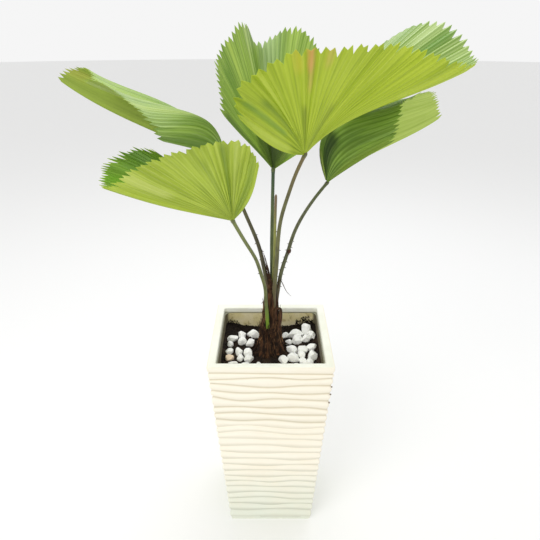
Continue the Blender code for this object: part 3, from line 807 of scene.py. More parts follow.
# Dust and painted shade lie where a corner is behind the slats' crests, and a dark line in the groove at
# the ledge
places = corner_places(planter)
heights = places[:, 2]
reach = np.maximum(np.abs(places[:, 0]), np.abs(places[:, 1]))
behind = outer_half(heights) - reach
on_rim = (heights > RIM_START) & (behind > SKIN)
elsewhere = (reach < LEDGE_REACH) | on_rim | (behind > WALL_BAND)
crease_mask = np.where(elsewhere, 0.0, np.clip(behind / CREASE_DEPTH, 0.0, 1.0))
at_ledge = (np.abs(heights - (PLANTER_HEIGHT - RIM_BAND)) < SKIN) & (reach < LEDGE_REACH)
crease_mask[at_ledge] = 1.0
# A second mask says how far each corner of the wall faces down, for painted shade on those faces
tilt = np.empty(len(planter.data.vertices) * 3, dtype=np.float32)
planter.data.vertices.foreach_get("normal", tilt)
underside = np.clip((-tilt[2::3] - 0.04) / 0.30, 0.0, 1.0)
underside[(behind >= WALL_BAND) | (heights <= WALL_BAND)] = 0.0
for label, values in {"crease": crease_mask, "underside": underside}.items():
    attribute = planter.data.attributes.new(label, "FLOAT", "POINT")
    attribute.data.foreach_set("value", values.astype(np.float32))
print("faces of the planter:", len(planter.data.polygons))

# %% [markdown]
# ### Edge marks
#
# Three small dark grey marks sit on the front right edge. A Boolean could cut them, but it would
# break the wall's clean rows for a mark of two millimetres. So each is a small flat ball sunk in
# the edge, with a finish of its own.

# %% Planter edge marks
EDGE_MARK_HEIGHTS = (0.546, 0.520, 0.491)
EDGE_MARK_DEPTH = 0.0015
EDGE_MARK_RADIUS = 0.0022

edge_mark_finish, tree, shader = new_material("dark_edge_mark", 0.8)
shader.inputs["Base Color"].default_value = paint(128, 112, 96)
for number, height in enumerate(EDGE_MARK_HEIGHTS, start=1):
    edge = outer_half(height) - EDGE_MARK_DEPTH
    radii = (EDGE_MARK_RADIUS, EDGE_MARK_RADIUS, 0.0014 + 0.0004 * number)
    edge_mark = knob_piece(f"planter_edge_mark_{number}", (edge, -edge, height), (0, 0, 1), radii, 12, 8)
    dress(edge_mark, None, "planter", edge_mark_finish)
    finish_piece(edge_mark, 80.0)
print("edge_marks:", len(EDGE_MARK_HEIGHTS))

# %% [markdown]
# ## Soil
#
# Dark potting soil lies about five centimetres below the rim. It is crumbly, and it has been pushed
# up against the wall here and there. The surface is a grid that follows the same rolling rule as
# the frame's soil with a finer roughness on top, its edge pulled onto the planter's inner wall, and
# a few hundred small clods are scattered over it. Simulating falling crumbs would look no better.

# %% Soil surface
SOIL_HEIGHT = 0.556
BACK_SINK = 0.001
SOIL_BUMP = 0.007
SOIL_COLUMNS = 150
WALL_GAP = 0.0005
EDGE_FROM = 0.97
SIDE_BANK = 0.009
# Heights in mm of the soil's edge along the back wall over its mean, from left to right
BACK_EDGE_PLACES = (-137, -112, -85, -60, 0, 60, 85, 104, 137)
BACK_EDGE_HEIGHTS = (9, 2, -5, -8, -5, -10, -4, 6, 9)


def soil_height(x, y):
    spot = Vector((x * 22, y * 22, 3.0))
    fine = Vector((x * 60, y * 60, 9.0))
    bumps = noise.noise(spot) * SOIL_BUMP + noise.noise(fine) * SOIL_BUMP * 0.45
    return SOIL_HEIGHT + bumps


def soil_bank(x, y):
    """Soil pushed up against the side walls and into the back corners, and sunk between them."""
    near_side = max(0.0, (abs(x) - 0.104) / 0.033)
    near_back = min(1.0, max(0.0, (y - 0.060) / 0.060))
    side = near_side ** 2 * SIDE_BANK * (1 - near_back)
    back = np.interp(x * 1000, BACK_EDGE_PLACES, BACK_EDGE_HEIGHTS) / 1000 * near_back ** 1.5
    return side + float(back) - BACK_SINK * near_back


def soil_point(across, depth):
    """A point of the surface for shares from -1 to 1 of the cavity, with its corners rounded."""
    half = cavity_half(SOIL_HEIGHT) - WALL_GAP
    x = across * half
    y = depth * half
    inner = half - CAVITY_CORNER
    over_x = abs(x) - inner
    over_y = abs(y) - inner
    if over_x > 0 and over_y > 0:
        span = math.hypot(over_x, over_y)
        limit = max(over_x, over_y)
        x = math.copysign(inner + over_x / span * limit, x)
        y = math.copysign(inner + over_y / span * limit, y)
    crumble = noise.noise(Vector((x * 170, y * 170, 1.0))) * 0.0022
    crumble += noise.noise(Vector((x * 420, y * 420, 7.0))) * 0.0012
    z = soil_height(x, y) + soil_bank(x, y) + crumble
    tight = (cavity_half(z) - WALL_GAP) / half
    reach = max(abs(across), abs(depth))
    if reach > EDGE_FROM:
        x *= tight
        y *= tight
    return x, y, z


shares = np.linspace(-1.0, 1.0, SOIL_COLUMNS + 1)
surface = np.array([[soil_point(across, depth) for across in shares] for depth in shares])
soil = grid_piece("soil_surface", surface)

bpy.ops.object.mode_set(mode="EDIT")
bpy.ops.mesh.select_all(action="DESELECT")
bpy.ops.mesh.select_mode(type="EDGE")
bpy.ops.mesh.select_non_manifold()
bpy.ops.mesh.extrude_edges_move(TRANSFORM_OT_translate={"value": (0.0, 0.0, -0.02)})
bpy.ops.transform.resize(value=(1.0, 1.0, 0.0))
bpy.ops.mesh.edge_face_add()
bpy.ops.mesh.select_all(action="SELECT")
bpy.ops.mesh.normals_make_consistent(inside=False)
bpy.ops.object.mode_set(mode="OBJECT")
lowest = corner_places(soil)[:, 2].min()
print("lowest point of the soil piece:", round(float(lowest), 4))

# %% Soil finish and clods
SOIL_BLACK = paint(28, 22, 18)
SOIL_BROWN = paint(58, 44, 34)
SOIL_FIBRE = paint(112, 84, 58)


def soil_finish():
    material, tree, shader = new_material("potting_soil", 0.95, Specular_IOR_Level=0.2)
    patches = use_group(tree, mottle, Scale=32.0, Low=0.42, High=0.66)["Mask"]
    # The soil is browner in front and blacker towards the back
    browner_in_front = ease(tree, coordinates(tree, "Object")[1], 0.02, 0.09, 1.0, 0.15)
    colour = layer(tree, SOIL_BLACK, SOIL_BROWN, patches, browner_in_front)
    specks = use_group(tree, mottle, Scale=330.0, Low=0.64, High=0.70)["Mask"]
    colour = layer(tree, colour, SOIL_FIBRE, specks, 0.6)
    feed(tree, shader.inputs["Base Color"], colour)
    grains = cloud(tree, object_place(tree), 300.0, detail=5.0, rough=0.7)
    add_bump(tree, shader, grains, 0.9, 0.0015)
    return material


soil_coat = soil_finish()
dress(soil, "soil", "soil", soil_coat)
finish_piece(soil, 80.0)

CLOD_COUNT = 620
CLOD_KINDS = 5
STEM_CLEARING = 0.046
draw = random.Random(11)
clod_kinds = []
for kind in range(CLOD_KINDS):
    bpy.ops.object.select_all(action="DESELECT")
    bpy.ops.mesh.primitive_ico_sphere_add(subdivisions=2, radius=1.0)
    clod = bpy.context.object
    rough = corner_places(clod)
    for corner in rough:
        corner *= 1 + 0.38 * noise.noise(Vector(corner) * 1.4 + Vector((kind * 7.0, 0, 0)))
    move_corners(clod, rough)
    clod_kinds.append(clod)


def scatter(name, kinds, matrices):
    """One piece made of copies of the kinds, each placed by its matrix."""
    copies = []
    for number, matrix in enumerate(matrices):
        mesh = kinds[number % len(kinds)].data.copy()
        mesh.transform(matrix)
        copy = bpy.data.objects.new(f"{name}_{number}", mesh)
        bpy.context.scene.collection.objects.link(copy)
        copies.append(copy)
    return join_pieces(copies, name)


def on_soil():
    """A place on the soil, away from the stem."""
    half = cavity_half(SOIL_HEIGHT) - 0.006
    while True:
        x = draw.uniform(-half, half)
        y = draw.uniform(-half, half)
        if math.hypot(x, y) > STEM_CLEARING:
            return x, y


clod_places = []
for _ in range(CLOD_COUNT):
    x, y = on_soil()
    size = draw.uniform(0.0008, 0.0026)
    turn = Matrix.Rotation(draw.uniform(0, 2 * math.pi), 4, "Z")
    turn = turn @ Matrix.Rotation(draw.uniform(0, 3), 4, "X")
    longer = draw.uniform(0.8, 1.7)
    stretch = Matrix.Diagonal((size * longer, size, size * draw.uniform(0.6, 1.0), 1.0))
    height = soil_height(x, y) + soil_bank(x, y) + size * 0.5
    clod_places.append(Matrix.Translation((x, y, height)) @ turn @ stretch)
clods = scatter("soil_clods", clod_kinds, clod_places)
for kind in clod_kinds:
    bpy.data.objects.remove(kind, do_unlink=True)
dress(clods, None, "soil", soil_coat)
finish_piece(clods, 80.0)
print("faces of the clods:", len(clods.data.polygons))

# %% [markdown]
# ### Crust on the back wall
#
# Watering has splashed crumbs against the back wall, so the soil's edge is ragged there, with small
# tufts in the left corner and at the right. The stain on the wall could be given such an outline,
# but it would stay flat, and these crumbs stand off the wall and are seen from above.

# %% Soil crust
CRUST_LUMPS = 230
# From, to and height of climb of each stretch of the crust, and how often each stretch is drawn
CRUST_SPANS = (
    (-0.134, -0.098, 0.013),
    (-0.098, 0.078, 0.005),
    (0.078, 0.120, 0.022),
    (0.120, 0.134, 0.010),
)
CRUST_SHARES = (0, 0, 1, 1, 2, 2, 2, 3)
CRUST_DEPTH = 0.130
CORNER_START = 0.124
CORNER_PULL = 0.004


def crust_places():
    """Crumbs that stick to the back wall above the soil, higher in the corners and at the right."""
    places = []
    for _ in range(CRUST_LUMPS):
        low, high, climb = CRUST_SPANS[draw.choice(CRUST_SHARES)]
        x = draw.uniform(low, high)
        base = SOIL_HEIGHT + soil_bank(x, CRUST_DEPTH) - 0.001
        height = base + climb * draw.random() ** 1.6
        size = draw.uniform(0.0009, 0.0021)
        pull = CORNER_PULL if abs(x) > CORNER_START else 0.0
        y = cavity_half(height) - size * 0.6 - pull
        turn = Matrix.Rotation(draw.uniform(0, 3), 4, "X")
        stretch = Matrix.Diagonal((size, size * 0.8, size * draw.uniform(1.0, 2.4), 1.0))
        places.append(Matrix.Translation((x, y, height)) @ turn @ stretch)
    return places


bpy.ops.object.select_all(action="DESELECT")
bpy.ops.mesh.primitive_ico_sphere_add(subdivisions=1, radius=1.0)
crumb = bpy.context.object
crust = scatter("soil_crust", [crumb], crust_places())
bpy.data.objects.remove(crumb, do_unlink=True)
dress(crust, None, "soil", soil_coat)
finish_piece(crust, 80.0)
print("faces of the crust:", len(crust.data.polygons))

# %% [markdown]
# ## Pebbles
#
# The pebbles are white chips of stone with soft facets, as tumbling leaves them. Each starts as a
# copy of the frame's own pebble, so it stays where that one lies. The copy's corners are merged,
# flat planes slice pieces off it, a voxel remesh evens its faces, and a smoothing pass rounds the
# edges. Scattering one stone many times would show; here the cuts differ from stone to stone.

# %% Pebble finish
STONE_WHITE = paint(255, 255, 252)
STONE_GREY = paint(228, 232, 222)
STONE_PEACH = paint(250, 228, 200)
STONE_PEACH_SHADE = paint(236, 205, 172)
STONE_SPECK = paint(150, 140, 120)
STONE_SOILED = paint(96, 76, 56)


def stone_finish(name, body, shade):
    material, tree, shader = new_material(name, 0.6, Specular_IOR_Level=0.4)
    patches = use_group(tree, mottle, Scale=45.0, Low=0.40, High=0.75)["Mask"]
    colour = layer(tree, body, shade, patches, 0.20)
    specks = use_group(tree, mottle, Scale=420.0, Low=0.68, High=0.74)["Mask"]
    colour = layer(tree, colour, STONE_SPECK, specks, 0.25)
    wobble = cloud(tree, object_place(tree), 90.0, detail=3.0)
    line = sums(tree, "MULTIPLY_ADD", wobble, -0.008, coordinates(tree, "Object")[2])
    soiled = ease(tree, line, 0.549, 0.555, 0.9, 0.0)
    colour = blend(tree, soiled, colour, STONE_SOILED)
    feed(tree, shader.inputs["Base Color"], colour)
    pits = cloud(tree, object_place(tree), 260.0, detail=4.0, rough=0.65)
    add_bump(tree, shader, pits, 0.35, 0.0006)
    return material


white_stone = stone_finish("white_stone", STONE_WHITE, STONE_GREY)
peach_stone = stone_finish("peach_stone", STONE_PEACH, STONE_PEACH_SHADE)
print("stone finishes:", white_stone.name, peach_stone.name)

# %% Pebble pieces
PEBBLE_COUNT = 34
PEACH_PEBBLE = "pebble_04"
PEBBLE_VOXEL = 0.0009
CUTS_PER_PEBBLE = 12
PEBBLE_GROWTH = np.array((1.24, 1.24, 1.66))
PEBBLE_LIFT = 0.0030
PEBBLE_STRETCH = 0.22
PEBBLE_WELD = 0.00002
CUT_SHARES = (0.66, 0.86)


def apply_modifier(piece, kind, **settings):
    bpy.context.view_layer.objects.active = piece
    added = piece.modifiers.new(kind.title(), kind)
    for name, value in settings.items():
        setattr(added, name, value)
    bpy.ops.object.modifier_apply(modifier=added.name)


def cut_facets(piece, seed):
    """Slice flat facets off a stone, at random angles seeded by its number."""
    chance = random.Random(seed)
    places = corner_places(piece)
    centre = places.mean(axis=0)
    turn = chance.uniform(0.0, math.pi)
    longways = np.array((math.cos(turn), math.sin(turn), chance.uniform(-0.4, 0.4)))
    reach = (places - centre) * PEBBLE_GROWTH
    longer = (reach @ longways)[:, None] * longways * PEBBLE_STRETCH * 1.5
    reach = reach * (1 - PEBBLE_STRETCH / 2) + longer
    places = centre + reach + np.array((0.0, 0.0, PEBBLE_LIFT))
    move_corners(piece, places)
    middle = Vector(places.mean(axis=0))
    bpy.ops.object.mode_set(mode="EDIT")
    for _ in range(CUTS_PER_PEBBLE):
        tilt = chance.uniform(-0.4, 1.0)
        turn = chance.uniform(0, 2 * math.pi)
        level = math.sqrt(1 - tilt * tilt)
        direction = Vector((level * math.cos(turn), level * math.sin(turn), tilt))
        furthest = float(((places - np.array(middle)) @ np.array(direction)).max())
        spot = middle + direction * furthest * chance.uniform(*CUT_SHARES)
        bpy.ops.mesh.select_all(action="SELECT")
        bpy.ops.mesh.bisect(plane_co=spot, plane_no=direction, use_fill=True, clear_outer=True)
    bpy.ops.object.mode_set(mode="OBJECT")


def make_pebble(number):
    node = f"pebble_{number:02d}"
    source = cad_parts[node]
    pebble = bpy.data.objects.new("stone_" + node[-2:], source.data.copy())
    bpy.context.scene.collection.objects.link(pebble)
    select_only(pebble)
    bpy.ops.object.mode_set(mode="EDIT")
    bpy.ops.mesh.select_all(action="SELECT")
    bpy.ops.mesh.remove_doubles(threshold=PEBBLE_WELD)
    bpy.ops.object.mode_set(mode="OBJECT")
    cut_facets(pebble, number)
    apply_modifier(pebble, "REMESH", mode="VOXEL", voxel_size=PEBBLE_VOXEL)
    apply_modifier(pebble, "SMOOTH", factor=0.5, iterations=2)
    dress(pebble, node, "pebble", peach_stone if node == PEACH_PEBBLE else white_stone)
    finish_piece(pebble, 80.0)
    return pebble


pebbles = [make_pebble(number) for number in range(1, PEBBLE_COUNT + 1)]
print("faces of the first pebble:", len(pebbles[0].data.polygons))

# %% [markdown]
# ## Stem
#
# The stem is short and hidden under the dry bases of old leaves, which have frayed to reddish brown
# fibre. Below it swells into a mass of roots. The body is a rolled grid with upright ridges, and
# loose strands, root fingers and torn strips are laid on it. Hair particles would be lost when the
# model is written out, so every strand is a thin tapered tube of a curve, turned into a mesh.

# %% Stem body
STEM_PROFILE = (
    (0.470, 0.024),
    (0.500, 0.036),
    (0.535, 0.044),
    (0.552, 0.045),
    (0.566, 0.039),
    (0.585, 0.033),
    (0.610, 0.0285),
    (0.636, 0.0260),
    (0.650, 0.0235),
    (0.660, 0.0195),
    (0.685, 0.018),
    (0.710, 0.0175),
    (0.735, 0.0155),
    (0.752, 0.0115),
)
STEM_TOP = 0.748
STEM_SIDES = 96
STEM_ROWS = 150
STEM_RELIEF = 0.0022
RIDGE_DEPTH = 0.0022

stem_heights, stem_radii = np.array(STEM_PROFILE).T


def stem_radius(height):
    return float(np.interp(height, stem_heights, stem_radii))


def stem_reach(angle, height):
    """The stem's own radius at an angle and height, with its folds and fibres."""
    east = math.cos(angle)
    north = math.sin(angle)
    folds = noise.noise(Vector((east * 2.4, north * 2.4, height * 9))) * STEM_RELIEF * 2
    sway = height * 14
    ridges = noise.noise(Vector((east * 9 + sway * 0.15, north * 9, sway))) * RIDGE_DEPTH
    threads = noise.noise(Vector((east * 26, north * 26, height * 30))) * RIDGE_DEPTH * 0.6
    return stem_radius(height) + folds + ridges + threads


stem_points = []
for height in np.linspace(stem_heights[0], stem_heights[-1], STEM_ROWS):
    ring = [around_stem(stem_reach(angle, height), angle, height)
            for angle in np.linspace(0.0, 2 * math.pi, STEM_SIDES + 1)]
    ring[-1] = ring[0]
    stem_points.append(ring)
stem = grid_piece("stem_body", np.array(stem_points))
weld_and_close(stem)
print("faces of the stem:", len(stem.data.polygons))

# %% [markdown]
# ### Fibre finish
#
# Old fibre is reddish brown and straw pale where it has split, with nearly black streaks that paint
# the shade in its gaps, and all of that runs upright. The mottling group gives it once its patches
# are stretched along z. One finish made from three colours then serves the stem, its sheaths,
# strips and roots, and the thorns.

# %% Stem finishes
BARK_RED = paint(108, 72, 46)
BARK_BROWN = paint(72, 50, 34)
BARK_DARK = paint(32, 22, 16)
FIBRE_PALE = paint(158, 122, 84)
SHEATH_BROWN = paint(98, 66, 44)
SHEATH_DARK = paint(44, 30, 22)
STRIP_TAN = paint(170, 130, 88)
STRIP_BROWN = paint(88, 60, 40)
STRIP_PALE = paint(206, 176, 134)


def fibre_finish(name, body, dark, pale, rough):
    material, tree, shader = new_material(name, rough, Specular_IOR_Level=0.25)
    # Nearly black streaks paint the shade in the gaps between fibres
    streaks = use_group(tree, mottle, Scale=130.0, Low=0.40, High=0.64, Upright_stretch=0.16)["Mask"]
    colour = blend(tree, streaks, dark, body)
    patches = use_group(tree, mottle, Scale=28.0, Low=0.44, High=0.66)["Mask"]
    colour = layer(tree, colour, dark, patches, 0.65)
    threads = use_group(tree, mottle, Scale=380.0, Low=0.60, High=0.70, Upright_stretch=0.10)["Mask"]
    colour = layer(tree, colour, pale, threads, 0.6)
    feed(tree, shader.inputs["Base Color"], colour)
    grain = cloud(tree, object_place(tree, (1.0, 1.0, 0.15)), 320.0, detail=4.0, rough=0.6)
    add_bump(tree, shader, grain, 0.8, 0.0012)
    return material


stem_coat = fibre_finish("brown_fibre", BARK_RED, BARK_DARK, FIBRE_PALE, 0.9)
shred_coat = fibre_finish("dry_sheath", SHEATH_BROWN, SHEATH_DARK, FIBRE_PALE, 0.85)
strip_coat = fibre_finish("peeling_strip", STRIP_TAN, STRIP_BROWN, STRIP_PALE, 0.85)
root_coat = fibre_finish("dark_root", BARK_BROWN, BARK_DARK, BARK_RED, 0.9)
dress(stem, "stem", "stem", stem_coat)
finish_piece(stem, 80.0)
print("fibre finishes:", [coat.name for coat in (stem_coat, shred_coat, strip_coat, root_coat)])

# %% [markdown]
# ### Strands, roots and strips
#
# Single fibres climb the stem, roots run out of its foot, and strips of old leaf base peel off. They
# could be drawn as bumps in a finish, but they stand off the stem and show on its outline. So each
# is a line that a rule draws from a few random numbers, and all the lines of one kind become tubes
# in one piece.

# %% Strands and roots
def strand_piece(name, lines, thickness, level=0):
    """Thin tubes along the lines, each thinning out to its end, as one mesh."""
    curve = bpy.data.curves.new(name, "CURVE")
    curve.dimensions = "3D"
    curve.bevel_depth = thickness
    curve.bevel_resolution = level
    curve.use_fill_caps = True
    for line in lines:
        spline = curve.splines.new("POLY")
        spline.points.add(len(line) - 1)
        for number, (point, place) in enumerate(zip(spline.points, line)):
            point.co = (*place, 1.0)
            point.radius = 1.0 - 0.75 * (number / (len(line) - 1)) ** 2
    piece = bpy.data.objects.new(name, curve)
    bpy.context.scene.collection.objects.link(piece)
    select_only(piece)
    bpy.ops.object.convert(target="MESH")
    return bpy.context.object


def stem_strand(chance):
    """A fibre that climbs the stem and strays a little off it at its end."""
    angle = chance.uniform(0, 2 * math.pi)
    low = chance.uniform(0.552, 0.700)
    high = min(low + chance.uniform(0.025, 0.075), STEM_TOP)
    twist = chance.uniform(-0.5, 0.5)
    stray = chance.uniform(0.0004, 0.0045)
    line = []
    for share in np.linspace(0.0, 1.0, 8):
        height = low + (high - low) * share
        around = angle + twist * share
        reach = stem_reach(around, height) + 0.0002 + stray * share ** 3
        line.append(around_stem(reach, around, height))
    return line


def root_finger(chance):
    """A root that leaves the stem's foot, runs outwards and dips into the soil."""
    angle = chance.uniform(0, 2 * math.pi)
    high = chance.uniform(0.562, 0.600)
    spread = chance.uniform(0.010, 0.026)
    twist = chance.uniform(-0.35, 0.35)
    line = []
    for share in np.linspace(0.0, 1.0, 9):
        height = high - (high - 0.548) * share ** 1.3
        around = angle + twist * share
        reach = stem_radius(max(height, 0.552)) * (0.97 + 0.02 * share) + spread * share ** 2.2
        line.append(around_stem(reach, around, height))
    return line


def torn_strip(chance):
    """A broad strip of old leaf base that clings to the stem and peels off at its tip."""
    angle = chance.uniform(0, 2 * math.pi)
    low = chance.uniform(0.560, 0.680)
    high = min(low + chance.uniform(0.030, 0.085), 0.745)
    lean = chance.uniform(-0.9, 0.9)
    peel = chance.uniform(0.0015, 0.0065)
    line = []
    for share in np.linspace(0.0, 1.0, 9):
        height = low + (high - low) * share
        around = angle + lean * share
        reach = stem_reach(around, height) + 0.0004 + peel * share ** 2.5
        line.append(around_stem(reach, around, height))
    return line


def foot_shred(chance):
    """A pointed shred of the sheath that the fresh stalk comes out of."""
    angle = chance.uniform(math.pi * 1.18, math.pi * 1.60)
    low = chance.uniform(0.590, 0.620)
    high = chance.uniform(0.644, 0.676)
    spread = chance.uniform(0.001, 0.006)
    line = []
    for share in np.linspace(0.0, 1.0, 8):
        height = low + (high - low) * share
        around = angle + 0.25 * share * chance.uniform(-1.0, 1.0)
        reach = stem_radius(low) + 0.001 + 0.007 * share + spread * share ** 2
        line.append(around_stem(reach, around, height))
    return line


def strand_bundle(name, draw_line, count, thickness, level, coat):
    """Many lines of one kind as one dressed piece."""
    lines = [draw_line(chance) for _ in range(count)]
    piece = strand_piece(name, lines, thickness, level)
    dress(piece, None, "stem", coat)
    finish_piece(piece, 80.0)
    print("faces of", name, len(piece.data.polygons))


chance = random.Random(23)
strand_bundle("stem_fibres", stem_strand, 260, 0.00042, 0, shred_coat)
strand_bundle("root_fingers", root_finger, 70, 0.0016, 1, root_coat)
strand_bundle("torn_strips", torn_strip, 46, 0.0013, 1, strip_coat)
strand_bundle("sheath_shreds", foot_shred, 26, 0.0011, 1, shred_coat)

# %% [markdown]
# ## Stalks
#
# A fan palm's leaf stands on a long, bare stalk: nearly round, flat or grooved on its upper side,
# green when fresh and olive brown later, with small hooked thorns near its foot. Each stalk is a
# rolled grid along the same route as the frame's own bar. A curve with a round bevel would do too,
# but it can't carry the groove on one side.

# %% Stalk routes
# Routes in mm from the stem up to just under the blade, and radii in metres at foot and top
STALKS = {
    "front_right": dict(
        route=((8, -10, 700), (10, -13, 763), (15, -20, 830), (18, -32, 900), (25, -46, 969),
               (41, -62, 1034), (57, -81, 1090)),
        radii=(0.0058, 0.0040), thorns=4,
    ),
    "front_left": dict(
        route=((-8, -22, 640), (-10, -25, 685), (-13, -33, 733), (-15, -48, 780), (-25, -68, 831),
               (-36, -85, 876), (-55, -103, 921), (-72, -121, 961)),
        radii=(0.0050, 0.0042), thorns=2,
    ),
    "back_middle": dict(
        route=((2, 12, 700), (3, 14, 780), (3, 18, 871), (4, 27, 957)),
        radii=(0.0056, 0.0042), thorns=0,
    ),
    "far_left": dict(
        route=((-8, 3, 705), (-10, 2, 770), (-18, 3, 813), (-26, 6, 853), (-39, 9, 897),
               (-56, 11, 940), (-71, 14, 977), (-94, 17, 1035)),
        radii=(0.0060, 0.0040), thorns=7,
    ),
    "far_right": dict(
        route=((14, 4, 700), (20, 5, 748), (30, 7, 806), (45, 12, 855), (61, 22, 905),
               (87, 45, 950), (117, 67, 988)),
        radii=(0.0056, 0.0040), thorns=15,
    ),
}
CUT_STALK_ROUTE = ((5, 1, 725), (6, 1, 770), (9, 2, 832), (11, 4, 930), (13, 5, 1016))
CUT_STALK_RADII = (0.0042, 0.0034)
HASTULAS = {
    "front_right": (0.075, -0.100, 1.138),
    "front_left": (-0.086, -0.140, 0.998),
    "back_middle": (0.006, 0.040, 1.069),
    "far_left": (-0.111, 0.020, 1.084),
    "far_right": (0.149, 0.090, 1.021),
}
STALK_ROWS = 110
STALK_SIDES = 20


# %% [markdown]
# ### Stalk finish
#
# A stalk changes colour on its way up: brown or fresh green at its foot, olive or green along it, and
# a paler tone under the blade, with long streaks all the way. A stalk could be cut into parts with a
# material each, but the change is gradual. The grid's own V says how far up a point lies, so two
# soft steps on V blend the foot and the top in.

# %% Stalk finishes
STALK_SPECK = paint(64, 48, 30)


def stalk_finish(name, *tones):
    """Body, streak, foot and top tones; U of the UV map runs round and V up the stalk."""
    body, streak, foot, top = [paint(*tone) for tone in tones]
    material, tree, shader = new_material(name, 0.48, Coat_Weight=0.12, Coat_Roughness=0.4)
    streaks = use_group(tree, mottle, Scale=160.0, Low=0.38, High=0.66, Upright_stretch=0.12)["Mask"]
    colour = blend(tree, streaks, body, streak)
    patches = use_group(tree, mottle, Scale=26.0, Low=0.42, High=0.70)["Mask"]
    colour = layer(tree, colour, streak, patches, 0.5)
    wobble = cloud(tree, object_place(tree), 40.0)
    share = sums(tree, "MULTIPLY_ADD", wobble, 0.12, coordinates(tree, "UV")[1])
    colour = blend(tree, ease(tree, share, 0.10, 0.30, 1.0, 0.0), colour, foot)
    colour = blend(tree, ease(tree, share, 0.72, 1.02), colour, top)
    specks = use_group(tree, mottle, Scale=520.0, Low=0.66, High=0.72)["Mask"]
    colour = layer(tree, colour, STALK_SPECK, specks, 0.6)
    feed(tree, shader.inputs["Base Color"], colour)
    grain = cloud(tree, object_place(tree, (1.0, 1.0, 0.08)), 420.0, detail=3.0)
    add_bump(tree, shader, grain, 0.4, 0.0006)
    return material


STALK_COATS = {
    "front_right": stalk_finish("olive_stalk", (106, 106, 58), (80, 78, 42), (92, 80, 44), (112, 98, 56)),
    "front_left": stalk_finish("fresh_stalk", (112, 118, 66), (84, 90, 50), (120, 152, 44), (116, 126, 66)),
    "back_middle": stalk_finish("dark_stalk", (92, 104, 54), (66, 78, 42), (122, 120, 60), (52, 76, 46)),
    "far_left": stalk_finish("brown_stalk", (86, 84, 46), (62, 56, 34), (104, 66, 44), (74, 84, 44)),
    "far_right": stalk_finish("grey_stalk", (94, 98, 60), (68, 68, 42), (86, 70, 44), (84, 92, 52)),
    "cut": stalk_finish("cut_stalk_skin", (150, 152, 74), (118, 120, 56), (122, 104, 52), (118, 96, 70)),
}
THORN_COAT = fibre_finish("thorn_brown", paint(92, 58, 36), paint(48, 32, 22), FIBRE_PALE, 0.6)
print("stalk finishes:", [coat.name for coat in STALK_COATS.values()])

# %% Stalk pieces
THORN_LENGTH = 0.0068
THORN_RADIUS = 0.0016
# Where the lowest thorn sits on a stalk, and how much of the stalk the row of thorns takes
THORN_FROM = 0.16
THORN_SPAN = 0.36
GROOVE_DEPTH = 0.22
# The stalk widens over its last part, where it meets the blade
SWELL_FROM = 0.965
SWELL_SIZE = 0.0012
KNOT_SHARE = 0.05


def grooved(angles):
    """A round section with a shallow groove down one side, which faces up and inwards."""
    from_groove = np.cos(angles - math.pi / 2)
    return 1.0 - GROOVE_DEPTH * np.clip(from_groove, 0.0, 1.0) ** 3


def stalk_course(name):
    """Points and radii of a stalk, from its foot in the stem up to the blade."""
    route = [Vector(point) / 1000 for point in STALKS[name]["route"]] + [Vector(HASTULAS[name])]
    points = smooth_route(route, STALK_ROWS)
    share = np.linspace(0.0, 1.0, STALK_ROWS)
    foot, top = STALKS[name]["radii"]
    radii = foot + (top - foot) * share
    radii = radii + SWELL_SIZE * np.clip((share - SWELL_FROM) / (1 - SWELL_FROM), 0.0, 1.0) ** 1.5
    knots = np.array([noise.noise(Vector((s * 9.0, foot * 900, 2.0))) for s in share])
    return points, radii * (1 + KNOT_SHARE * knots)


def thorn(place, direction, size):
    """A slim cone that stands on the stalk's edge."""
    length = THORN_LENGTH * size
    bpy.ops.object.select_all(action="DESELECT")
    bpy.ops.mesh.primitive_cone_add(vertices=8, radius1=THORN_RADIUS * size, depth=length,
                                    radius2=THORN_RADIUS * 0.08, location=(0, 0, length * 0.42))
    piece = bpy.context.object
    bpy.ops.object.transform_apply(location=True, rotation=False, scale=False)
    turn = Vector((0, 0, 1)).rotation_difference(direction).to_matrix().to_4x4()
    piece.data.transform(Matrix.Translation(place) @ turn)
    return piece


def thorns_for(name, points, radii, chance):
    """Thorns on both edges of a stalk's lower half."""
    count = STALKS[name]["thorns"]
    pieces = []
    for i in range(count):
        share = THORN_FROM + THORN_SPAN * i / max(count - 1, 1)
        row = int(share * (len(points) - 1))
        along = Vector(points[row + 1] - points[row]).normalized()
        side = along.cross(Vector((0, 1, 0))).normalized() * (1 if i % 2 else -1)
        lean = Vector((0, chance.uniform(-0.2, 0.2), 0)) - along * 0.35
        direction = (side + lean).normalized()
        pieces.append(thorn(Vector(points[row]) + side * radii[row] * 0.75, direction,
                            chance.uniform(0.8, 1.15)))
    return pieces


def stalk_slot(name):
    return "fresh_stalk" if name == "front_left" else "old_stalk"


chance = random.Random(4)
for name in STALKS:
    points, radii = stalk_course(name)
    stalk = grid_piece("stalk_skin_" + name, swept_rings(points, radii, STALK_SIDES, grooved))
    weld_and_close(stalk)
    dress(stalk, "stalk_" + name, stalk_slot(name), STALK_COATS[name])
    finish_piece(stalk, 60.0)
    spikes = thorns_for(name, points, radii, chance)
    if spikes:
        spikes = join_pieces(spikes, "thorns_" + name)
        dress(spikes, None, stalk_slot(name), THORN_COAT)
        finish_piece(spikes, 50.0)
    print("faces of the stalk", name, len(stalk.data.polygons))

# %% [markdown]
# ### Sheath and stalk details
#
# A few torn bits catch the eye: an old sheath curled over like a hook, a loose fibre that hangs out
# to the right, a small hook at the left, the ragged edge of the brown stalk's sheath, and a brown
# knot on the right stalk. Random strands would never fall just so, so these few are drawn as routes
# and become tubes as the strands do.

